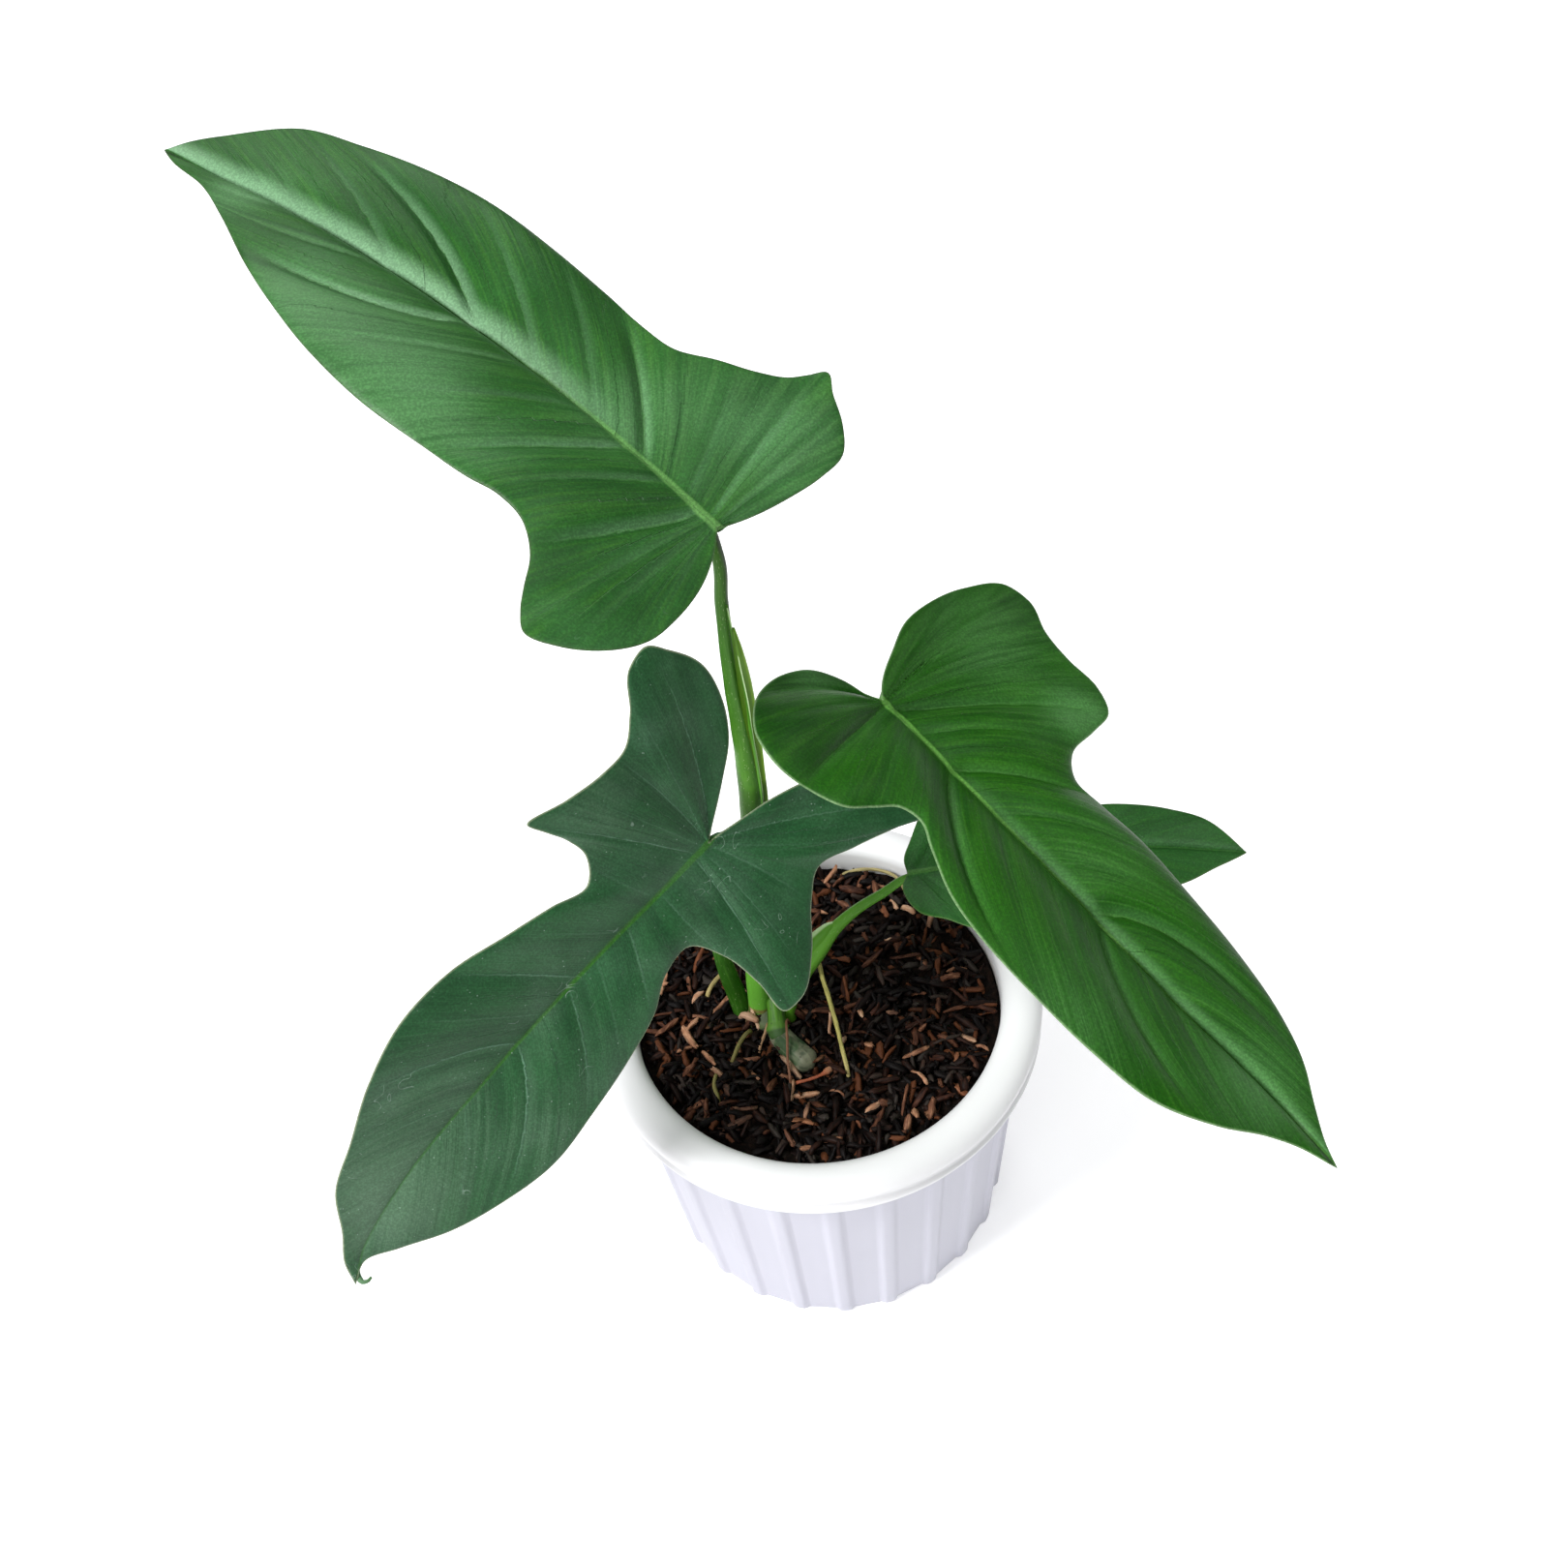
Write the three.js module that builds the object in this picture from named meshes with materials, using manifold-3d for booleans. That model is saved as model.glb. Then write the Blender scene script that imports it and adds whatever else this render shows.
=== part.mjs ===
// Potted horsehead philodendron: a ribbed white pot full of bark soil, a short cane with its cut
// stub, four long petioles with lobed blades, a rolled new leaf and the roots that grow in the air.
// Millimetres, +Z up. The origin is the centre of the pot's base, and the front of the plant faces -Y.
import * as THREE from 'three';
import Module from 'manifold-3d';

const wasm = await Module();
wasm.setup();

// Driving dimensions
const clearance = 0.3; // air between pieces that touch
const bladeThickness = 0.8;
const bladeRowStep = 9; // length of margin between two rows of a blade's net
const bladeColumns = 5; // steps from the midrib to the margin
const tuckedRows = [2, 6]; // veins next to the foot that tuck may bend more, fading from the first to the last

const potSize = {
  height: 114.2, rimRadius: 75, rimHalfWidth: 6.8, rimHalfHeight: 4.8,
  baseRadius: 59, shoulderRadius: 67.6, shoulderHeight: 100.6,
  mouthRadius: 61.2, floorRadius: 55.7, floorHeight: 3,
  ribCount: 23, firstRibAngle: -93.3, ribHalfWidth: 3.1, ribFlatShare: 0.5, ribHeight: 1.3,
  drainCount: 6, drainRadius: 4, drainCircle: 40,
};
const soilSize = {
  level: 104.8, swell: 1.1, rings: [0.2, 0.4, 0.6, 0.78, 0.92, 1], segments: 40,
  chipCount: 90, chipLength: [9, 16], chipWidth: [3, 4.8], chipThickness: [2, 3], seed: 11,
};

// Stems and roots: points from the foot up, with the radius at each.
const crown = [[-17, 0, 86, 5.5], [-17, 0, 97, 7], [-17, 0, 104, 7], [-17, 0, 107.5, 5.5], [-17, 0, 109, 2.5]];
const cutStub = [[-16, 0, 103, 5], [-14.5, -7, 105.5, 4.8], [-11, -14, 107, 4.3], [-5, -22, 106.8, 4.1]];
const petioles = {
  petiole_upper_left: [[-19.5, 1, 101, 3.5], [-19, 2.5, 114, 3.6], [-18, 4, 135, 3.3], [-16.5, 6.5, 160, 2.9],
    [-14.3, 6.5, 186, 2.5], [-12.5, 4, 212, 2.3], [-12, 3.5, 242, 2.1], [-12.7, 2.2, 275, 1.9], [-12.2, 3, 303, 1.8],
    [-11.5, 3, 321, 1.7], [-13.5, 6.5, 329.4, 1.4], [-17.5, 11, 331.4, 1.1]],
  petiole_front_left: [[-24.5, 3, 100, 3.1], [-27, 6, 114, 3.2], [-29, 7, 130, 2.9], [-29.2, 6, 150, 2.5],
    [-28.3, -0.5, 180, 2], [-26.8, -6.5, 207, 1.8], [-27, -9.8, 214, 1.6], [-28, -11.8, 216.6, 1.4],
    [-31, -13.9, 214.9, 1.1]],
  petiole_right: [[-10.5, 3, 101, 3.1], [-11, 5.5, 118, 3], [-7.2, 11, 141, 2.7], [-1, 14.5, 166, 2.4],
    [8, 14.5, 195, 2.2], [18, 11, 222, 2], [25, 6, 244, 1.8], [27.6, 1, 254, 1.8], [29, -4, 258.9, 1.5],
    [32.7, -10, 257.7, 1.1]],
  petiole_back_right: [[-11, -3, 101, 3.3], [-10.5, 0, 109, 3.3], [-5, 5.5, 117, 3.2], [2.3, 10, 124.5, 3],
    [8.9, 13.8, 131, 2.6], [16.2, 15.8, 137, 2.1], [25.5, 17, 142.8, 1.8], [34, 18.8, 147.2, 1.5], [40, 18.3, 148.6, 1.1]],
};
const rolledLeaf = [[-17, 7.5, 107, 2.2], [-16, 9, 125, 2.1], [-14, 10, 150, 2], [-11.5, 8.5, 183, 1.9],
  [-9.3, 6.3, 212, 1.9], [-8.4, 4.2, 230, 1.8], [-8, 3, 248, 1.8], [-8.2, 1, 267, 1.6], [-8.9, -1.2, 286, 1.2],
  [-10, -3, 299, 0.5]];
const roots = {
  root_yellow: [[-13, 9, 101, 1.5], [-7, 13, 112, 1.4], [1, 13, 116.3, 1.3], [2.8, 4.5, 115.5, 1.3], [4.3, -4, 113, 1.3],
    [5.5, -12, 110.8, 1.2], [6.2, -19, 108.5, 1.2], [7, -25, 104.5, 1.2], [7.2, -29, 97, 1.1]],
  root_brown: [[-10, -6, 101, 0.9], [-10.5, -6, 110, 0.9], [-11, -9, 113.3, 0.9], [-11.3, -15, 113.6, 0.9],
    [-12, -20.5, 110.5, 0.9], [-12.4, -24, 105.5, 0.9], [-12.6, -27, 97, 0.9]],
  root_olive: [[-22.5, -5.5, 101, 1], [-24, -7, 107.4, 1], [-27, -10.5, 107.4, 1], [-29.5, -15, 106.4, 1],
    [-33, -18, 97, 1]],
  root_back: [[12, 57, 97, 1.2], [14.5, 55.5, 104, 1.2], [20, 54.5, 107, 1.2], [27, 53, 107.4, 1.2], [33, 49, 107, 1.2],
    [35.5, 43, 105.3, 1.2], [38, 39, 98, 1.2]],
};

// Leaf blades. base is where the petiole joins, tip is the far end of the midrib, and side points
// across the blade. bow lifts the middle of the midrib, fold raises the halves from it and curl
// turns the margins down. bulge is how far each vein swings out on its way to the margin, and tuck
// adds to it for the veins that run back beside the foot. midrib holds [along, across] in the blade's
// plane. Each row of veins is a vein's root on the midrib, then the margin it runs to on each side as
// [along, across, lift].
const blades = {
  leaf_upper_left: {
    base: [-10.5, 3, 330], tip: [-162, 168, 352], side: [0.72, 0.68, -0.12],
    bow: 14, fold: 0.13, foldAtTip: 0.13, curl: 0.0005, bulge: 0.55, tuck: 0,
    midrib: [[0, 0], [60, 1], [120, 1], [180, 1], [226, 1]],
    veins: [
      [0.3, [-3, 8, 0], [-4, -5, 0]], [0.6, [-6, 22, 0], [-10, -15, 0]], [1, [-7, 33, 0], [-15, -31, 0]],
      [1.5, [-5, 44, -1], [-16, -41, 0]], [2.2, [1, 50, 0], [-13, -53, 1]], [3, [8, 54, 1], [-6, -62, 1]],
      [3.8, [15, 59, 0], [2, -66, 0]], [5, [18, 55, -1], [9, -61, -2]], [7, [21, 50, -1], [14, -55, -2]],
      [10, [27, 44, 0], [19, -48, 0]], [14, [36, 38, 1], [27, -43, 2]], [20, [46, 32, 1], [36, -42, 2]],
      [29, [58, 32, 0], [47, -43, 0]], [40, [73, 34, -1], [62, -44, -1]], [54, [93, 35, 0], [82, -46, 0]],
      [70, [120, 36, 1], [104, -44, 1]], [88, [147, 36, 0], [128, -37, 0]], [110, [174, 34, -1], [151, -28, -1]],
      [138, [197, 29, 0], [175, -17, 0]], [170, [213, 17, 0], [196, -8, 0]], [205, [224, 6, 0], [216, -3, 0]],
    ],
  },
  leaf_front_left: {
    base: [-25.7, -12.3, 219], tip: [-147, -93, 131], side: [0.63, -0.13, -0.76],
    bow: 6, fold: 0.16, foldAtTip: 0.16, curl: 0.0006, bulge: 0.46, tuck: 1,
    midrib: [[0, 0], [46, -8], [94, -12], [130, -12], [150, -9], [160, -6.5], [172, 0]],
    veins: [
      [0.5, [-9, 3.6, 0], [-6, -2.8, 0]], [1, [-20, 8.2, 0], [-17, -8.4, 0]], [1.4, [-29, 13.4, 0], [-28, -14.8, 0]],
      [1.7, [-38, 21, -1], [-36, -24, 0]], [1.9, [-46, 32, -1], [-41, -37, 0]], [2.1, [-50, 46, 0], [-39, -49, 1]],
      [2.4, [-46, 55, 1], [-36, -56, 1]], [2.8, [-37, 49, 0], [-29, -56, 0]], [3.4, [-24, 40, 0], [-18, -47, -1]],
      [4, [-12, 34, -1], [-9, -42, -1]], [4.6, [-3, 38, 0], [0, -44, 0]], [5.4, [9, 47, 1], [11, -49, 1]],
      [6.4, [22, 53, 1], [23, -54, 0]], [7.6, [28, 52, 0], [22, -48, 0]], [9.5, [26, 40, -1], [21, -40, -1]],
      [13, [25, 25, -1], [22, -32, -1]], [18, [29, 13, 0], [29, -26, 0]], [26, [38, 12, 1], [39, -32, 1]],
      [36, [50, 17, 0], [53, -38, 0]], [48, [66, 20, -1], [70, -45, -1]], [62, [85, 21, 0], [90, -48, 0]],
      [78, [105, 21, 1], [110, -44, 1]], [96, [124, 17, 0], [130, -35, 0]], [120, [141, 11, -1], [147, -27, -1]],
      [140, [154, 2, 0], [158, -16, 0]], [157, [163.5, -3.2, 0], [167, -8, 0]],
    ],
  },
  leaf_right: {
    base: [28.5, -3, 262], tip: [127, -139, 215], side: [0.68, 0.62, -0.38],
    bow: 2, fold: 0.14, foldAtTip: 0.04, curl: 0.0006, bulge: 0.55, tuck: 1,
    midrib: [[0, 0], [60, 0], [120, 0], [155, 2], [175, 0]],
    veins: [
      [0.4, [-5, 5.4, 0], [-4, -2.4, 0]], [0.8, [-12, 17, 0], [-11, -6.4, 0]], [1, [-18, 29, 0], [-17, -13, 0]],
      [1.4, [-20, 42, 0], [-19, -24, 0]], [1.8, [-19, 57, 0], [-17, -36, 0]], [2.3, [-13, 70, 1], [-11, -47, 1]],
      [2.8, [-5, 73, 0], [-3, -54, 1]], [3.4, [6, 69, -1], [7, -55, 0]], [4.2, [18, 66, 0], [17, -51, -1]],
      [5, [30, 65, 1], [25, -47, 0]], [6.4, [39, 60, 1], [29, -38, 0]], [9, [41, 51, 0], [33, -31, 1]],
      [14, [43, 39, -1], [38, -29, 1]], [22, [50, 32, -1], [47, -33, 0]], [32, [61, 31, 0], [60, -39, -1]],
      [44, [77, 31, 1], [76, -43, 0]], [58, [96, 31, 0], [94, -44, 1]], [74, [117, 30, -1], [114, -41, 0]],
      [92, [135, 25, 0], [133, -35, -1]], [112, [150, 17, 1], [148, -24, 0]], [134, [160, 10, 0], [158, -12, 0]],
      [154, [168, 4, 0], [166, -5, 0]],
    ],
  },
  leaf_back_right: {
    base: [34.5, 18.7, 150], tip: [144, 11.5, 148], side: [0.06, 1, 0],
    bow: 5, fold: 0.15, foldAtTip: 0.15, curl: 0.001, bulge: 0.55, tuck: 0,
    midrib: [[0, 0], [35, 0], [75, 2], [110, 0]],
    veins: [
      [0.4, [-1, 5, 0], [-2, -5, 0]], [0.8, [1.5, 12, 0], [-1, -11, 0]], [1.2, [6, 22, 0], [3, -18, 0]],
      [1.6, [14, 31, 1], [11, -23, 1]], [2.4, [22, 33, 0], [21, -28, 0]], [4, [29, 28, -1], [29, -27, -1]],
      [7, [34, 21, 0], [35, -20, 0]], [13, [43, 17, 1], [44, -16, 1]], [22, [56, 18, 0], [58, -18, 0]],
      [34, [71, 19, -1], [73, -18, -1]], [50, [87, 16, 0], [88, -14, 0]], [68, [99, 11, 1], [99, -7, 0]],
      [90, [107, 4, 0], [107, -2, 0]],
    ],
  },
};

const finishes = {
  pot: { color: 0xe9e8e4, roughness: 0.42 },
  soil: { color: 0x3a2a20, roughness: 0.95 },
  cane: { color: 0x8a9468, roughness: 0.7 },
  petiole: { color: 0x7d9a45, roughness: 0.5 },
  blade: { color: 0x3c6a2c, roughness: 0.4 },
  rolled: { color: 0x9aa24a, roughness: 0.5 },
  root: { color: 0xa98a45, roughness: 0.75 },
};

const plant = new THREE.Group();

function addPiece(name, solid, finish) {
  const mesh = solid.getMesh();
  const geometry = new THREE.BufferGeometry();
  geometry.setAttribute('position', new THREE.BufferAttribute(new Float32Array(mesh.vertProperties), 3));
  geometry.setIndex(new THREE.BufferAttribute(new Uint32Array(mesh.triVerts), 1));
  geometry.computeVertexNormals();
  const piece = new THREE.Mesh(geometry, new THREE.MeshStandardMaterial({ ...finish, metalness: 0 }));
  piece.name = name;
  plant.add(piece);
}

function solidOf(points, faces) {
  const vertProperties = new Float32Array(points.flatMap((point) => point.toArray()));
  return new wasm.Manifold(new wasm.Mesh({ numProp: 3, vertProperties, triVerts: new Uint32Array(faces.flat()) }));
}

// The largest body of a solid, without any scrap that a cut left loose.
function mainBody(solid) {
  return solid.decompose().reduce((best, body) => (body.volume() > best.volume() ? body : best));
}

// A small seeded generator, so that every build draws the same numbers.
function seededRandom(seed) {
  let state = seed;
  return (low, high) => {
    state = (state * 1664525 + 1013904223) % 4294967296;
    return low + (high - low) * (state / 4294967296);
  };
}

// A smooth curve through rows of numbers, one knot to each row. Rows differ in any number of
// columns, and the first count columns set how far apart the knots are.
function smoothRows(rows, count) {
  const knots = [0];
  for (let i = 1; i < rows.length; i += 1) {
    let square = 0;
    for (let c = 0; c < count; c += 1) square += (rows[i][c] - rows[i - 1][c]) ** 2;
    knots.push(knots[i - 1] + Math.max(Math.sqrt(square), 1e-6));
  }
  const slope = (i, c) => (rows[i + 1][c] - rows[i][c]) / (knots[i + 1] - knots[i]);
  const last = rows.length - 1;
  const tangent = (i, c) => {
    if (i === 0) return slope(0, c);
    if (i === last) return slope(last - 1, c);
    const before = knots[i] - knots[i - 1];
    const after = knots[i + 1] - knots[i];
    return (slope(i - 1, c) * after + slope(i, c) * before) / (before + after);
  };
  return (place) => {
    const i = Math.min(Math.max(Math.floor(place), 0), last - 1);
    const f = place - i;
    const gap = knots[i + 1] - knots[i];
    return rows[i].map((start, c) => (
      start * (1 + 2 * f) * (1 - f) ** 2 + tangent(i, c) * gap * f * (1 - f) ** 2
      + rows[i + 1][c] * f * f * (3 - 2 * f) + tangent(i + 1, c) * gap * f * f * (f - 1)));
  };
}

// A round stem through points that each hold a radius. grow adds to every radius.
function stem(points, sides, step, grow = 0) {
  const route = new THREE.CatmullRomCurve3(points.map(([x, y, z]) => new THREE.Vector3(x, y, z)), false, 'centripetal');
  const steps = Math.max(4, Math.ceil(route.getLength() / step));
  const frames = route.computeFrenetFrames(steps, false);
  const vertices = [];
  const faces = [];
  for (let i = 0; i <= steps; i += 1) {
    const along = route.getUtoTmapping(i / steps) * (points.length - 1);
    const k = Math.min(Math.floor(along), points.length - 2);
    const radius = grow + THREE.MathUtils.lerp(points[k][3], points[k + 1][3], along - k);
    const centre = route.getPointAt(i / steps);
    for (let s = 0; s < sides; s += 1) {
      const turn = (2 * Math.PI * s) / sides;
      vertices.push(centre.clone().addScaledVector(frames.normals[i], radius * Math.cos(turn))
        .addScaledVector(frames.binormals[i], radius * Math.sin(turn)));
    }
  }
  const footCentre = vertices.push(route.getPointAt(0).addScaledVector(frames.tangents[0], -grow)) - 1;
  const headCentre = vertices.push(route.getPointAt(1).addScaledVector(frames.tangents[steps], grow)) - 1;
  for (let s = 0; s < sides; s += 1) {
    const next = (s + 1) % sides;
    for (let i = 0; i < steps; i += 1) {
      const low = i * sides;
      faces.push([low + s, low + next, low + sides + next], [low + s, low + sides + next, low + sides + s]);
    }
    faces.push([footCentre, next, s], [headCentre, steps * sides + s, steps * sides + next]);
  }
  return solidOf(vertices, faces);
}

// A blade as a closed solid, with the same net of triangles on its upper and lower faces.
function blade(leaf, thickness) {
  const base = new THREE.Vector3(...leaf.base);
  const along = new THREE.Vector3(...leaf.tip).sub(base);
  const length = along.length();
  along.normalize();
  const across = new THREE.Vector3(...leaf.side);
  across.addScaledVector(along, -across.dot(along)).normalize();
  const up = along.clone().cross(across);
  if (up.z < 0) up.negate();

  const midrib = smoothRows(leaf.midrib, 2);
  const midribAcross = (distance) => {
    const rows = leaf.midrib;
    if (distance <= 0) return 0;
    const i = Math.min(rows.findLastIndex((row) => row[0] <= distance), rows.length - 2);
    return midrib(i + Math.min((distance - rows[i][0]) / (rows[i + 1][0] - rows[i][0]), 1))[1];
  };
  const height = (a, b) => {
    const part = a / length;
    const off = b - midribAcross(a);
    const fold = leaf.fold + (leaf.foldAtTip - leaf.fold) * THREE.MathUtils.clamp(part, 0, 1);
    return leaf.bow * 4 * part * (1 - part) + fold * (Math.hypot(off, 3) - 3) - leaf.curl * off * off;
  };

  const start = leaf.midrib[0];
  const end = leaf.midrib[leaf.midrib.length - 1];
  const margins = [1, 2].map((side) => [
    [...start, 0, 0], ...leaf.veins.map((vein) => [...vein[side], vein[0]]), [...end, 0, end[0]],
  ]);
  const curves = margins.map((rows) => smoothRows(rows, 2));
  const places = [];
  for (let i = 0; i < margins[0].length - 1; i += 1) {
    const spans = margins.map((rows) => Math.hypot(rows[i + 1][0] - rows[i][0], rows[i + 1][1] - rows[i][1]));
    const steps = Math.max(1, Math.round(Math.max(...spans) / bladeRowStep));
    for (let k = 0; k < steps; k += 1) places.push(i + k / steps);
  }

  // [along, across, lift] from the left margin over the midrib to the right margin
  const row = (place) => {
    const [right, left] = curves.map((curve) => curve(place));
    const root = (right[3] + left[3]) / 2;
    const rib = midribAcross(root);
    const tuck = leaf.tuck * THREE.MathUtils.clamp((tuckedRows[1] - place) / (tuckedRows[1] - tuckedRows[0]), 0, 1);
    const half = ([a, b, lift]) => {
      const points = [];
      const bend = [root + (0.3 - 0.1 * tuck) * (a - root), rib + (leaf.bulge + 0.3 * tuck) * (b - rib)];
      for (let c = 1; c <= bladeColumns; c += 1) {
        const f = c / bladeColumns;
        points.push([
          root * (1 - f) ** 2 + bend[0] * 2 * f * (1 - f) + a * f * f,
          rib * (1 - f) ** 2 + bend[1] * 2 * f * (1 - f) + b * f * f,
          lift * f * f,
        ]);
      }
      return points;
    };
    return [...half(left).reverse(), [root, rib, 0], ...half(right)];
  };
  const rows = places.slice(1).map(row);
  const width = 2 * bladeColumns + 1;
  const net = [[...start, 0], ...rows.flat(), [...end, 0]];
  const place3d = ([a, b, lift]) => base.clone().addScaledVector(along, a).addScaledVector(across, b)
    .addScaledVector(up, height(a, b) + lift);
  const middle = net.map(place3d);

  const cells = [];
  const at = (r, c) => 1 + r * width + c;
  const foot = 0;
  const head = net.length - 1;
  const lastRow = rows.length - 1;
  for (let c = 0; c < width - 1; c += 1) {
    cells.push([foot, at(0, c + 1), at(0, c)], [head, at(lastRow, c), at(lastRow, c + 1)]);
    for (let r = 0; r < lastRow; r += 1) {
      if (c < bladeColumns) cells.push([at(r, c), at(r, c + 1), at(r + 1, c)], [at(r, c + 1), at(r + 1, c + 1), at(r + 1, c)]);
      else cells.push([at(r, c), at(r, c + 1), at(r + 1, c + 1)], [at(r, c), at(r + 1, c + 1), at(r + 1, c)]);
    }
  }
  // The foot closes from both halves, and the outer edge is one loop round the blade.
  const loop = [foot];
  for (let r = 0; r <= lastRow; r += 1) loop.push(at(r, width - 1));
  loop.push(head);
  for (let r = lastRow; r >= 0; r -= 1) loop.push(at(r, 0));

  const normals = middle.map(() => new THREE.Vector3());
  const edgeA = new THREE.Vector3();
  const edgeB = new THREE.Vector3();
  for (const [i, j, k] of cells) {
    edgeA.subVectors(middle[j], middle[i]);
    edgeB.subVectors(middle[k], middle[i]);
    edgeA.cross(edgeB);
    for (const n of [i, j, k]) normals[n].add(edgeA);
  }
  normals.forEach((normal) => normal.normalize());
  const facing = normals[at(Math.floor(lastRow / 2), bladeColumns)].dot(up) > 0 ? 1 : -1;
  const total = middle.length;
  const vertices = [1, -1].flatMap((face) => middle.map((point, i) => (
    point.clone().addScaledVector(normals[i], (face * facing * thickness) / 2))));
  const faces = [];
  for (const [i, j, k] of cells) {
    faces.push(facing > 0 ? [i, j, k] : [i, k, j]);
    faces.push(facing > 0 ? [total + i, total + k, total + j] : [total + i, total + j, total + k]);
  }
  loop.forEach((from, i) => {
    const to = loop[(i + 1) % loop.length];
    if (facing > 0) faces.push([from, total + from, total + to], [from, total + to, to]);
    else faces.push([from, total + to, total + from], [from, to, total + to]);
  });
  return solidOf(vertices, faces);
}

// The pot: rings of points round the axis, with the ribs raised from the outer wall.
function pot() {
  const rimCentre = potSize.rimRadius - potSize.rimHalfWidth;
  const rimHeight = potSize.height - potSize.rimHalfHeight;
  const rings = [
    [potSize.baseRadius - 1.6, 0, 0.6], [potSize.baseRadius, 1.6, 1],
    [potSize.shoulderRadius, potSize.shoulderHeight - 1, 1], [potSize.shoulderRadius, potSize.shoulderHeight, 0],
    [potSize.rimRadius - 1.6, potSize.shoulderHeight + 0.4, 0], [potSize.rimRadius - 0.4, potSize.shoulderHeight + 1.2, 0],
    [potSize.rimRadius - 0.3, potSize.shoulderHeight + 2.6, 0], [potSize.rimRadius - 1.2, potSize.shoulderHeight + 3.8, 0],
  ];
  for (let angle = -30; angle <= 180; angle += 35) {
    const turn = THREE.MathUtils.degToRad(angle);
    rings.push([rimCentre + potSize.rimHalfWidth * Math.cos(turn), rimHeight + potSize.rimHalfHeight * Math.sin(turn), 0]);
  }
  rings.push([potSize.mouthRadius, rimHeight - 4, 0], [potSize.floorRadius, potSize.floorHeight, 0]);

  const turns = [];
  for (let rib = 0; rib < potSize.ribCount; rib += 1) {
    const centre = THREE.MathUtils.degToRad(potSize.firstRibAngle + (360 * rib) / potSize.ribCount);
    for (const [part, rise] of [[-1, 0], [-potSize.ribFlatShare, 1], [potSize.ribFlatShare, 1], [1, 0]]) {
      turns.push([centre + (part * potSize.ribHalfWidth) / potSize.shoulderRadius, rise * potSize.ribHeight]);
    }
  }
  const vertices = [];
  for (const [radius, z, ribbed] of rings) {
    for (const [turn, rise] of turns) {
      const out = radius + rise * ribbed;
      vertices.push(new THREE.Vector3(out * Math.cos(turn), out * Math.sin(turn), z));
    }
  }
  const under = vertices.push(new THREE.Vector3(0, 0, 0)) - 1;
  const floor = vertices.push(new THREE.Vector3(0, 0, potSize.floorHeight)) - 1;
  const faces = [];
  const count = turns.length;
  const topRing = (rings.length - 1) * count;
  for (let s = 0; s < count; s += 1) {
    const next = (s + 1) % count;
    faces.push([under, next, s], [floor, topRing + s, topRing + next]);
    for (let r = 0; r < rings.length - 1; r += 1) {
      const low = r * count;
      faces.push([low + s, low + next, low + count + next], [low + s, low + count + next, low + count + s]);
    }
  }
  let body = solidOf(vertices, faces);
  for (let i = 0; i < potSize.drainCount; i += 1) {
    const turn = (2 * Math.PI * i) / potSize.drainCount;
    const x = potSize.drainCircle * Math.cos(turn);
    const y = potSize.drainCircle * Math.sin(turn);
    const r = potSize.drainRadius;
    body = body.subtract(stem([[x, y, -1, r], [x, y, 1, r], [x, y, 3, r], [x, y, potSize.floorHeight + 1, r]], 12, 8));
  }
  return body;
}

function soilHeight(x, y) {
  const swell = Math.sin(x / 11 + 0.6) * Math.cos(y / 13 - 0.4) + 0.6 * Math.sin((x + 1.7 * y) / 7);
  return soilSize.level + soilSize.swell * swell + 1.2 * Math.exp(-((x + 16) ** 2 + y ** 2) / 400);
}

// A flake of bark: a spindle with four sides, pointed at both ends.
function barkChip(x, y, length, width, thickness, heading, pitch) {
  const turn = new THREE.Matrix4().makeRotationFromEuler(new THREE.Euler(0, pitch, heading, 'ZYX'));
  turn.setPosition(x, y, soilHeight(x, y) + thickness * 0.2);
  const girdle = [[0, width / 2, 0], [0, 0, thickness / 2], [0, -width / 2, 0], [0, 0, -thickness / 2]];
  const vertices = [[-length / 2, 0, 0], [length / 2, 0, 0], ...girdle]
    .map((point) => new THREE.Vector3(...point).applyMatrix4(turn));
  const faces = [];
  for (let i = 0; i < 4; i += 1) faces.push([0, 2 + ((i + 1) % 4), 2 + i], [1, 2 + i, 2 + ((i + 1) % 4)]);
  const solid = solidOf(vertices, faces);
  return solid.volume() > 0 ? solid : solidOf(vertices, faces.map(([i, j, k]) => [i, k, j]));
}

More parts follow.
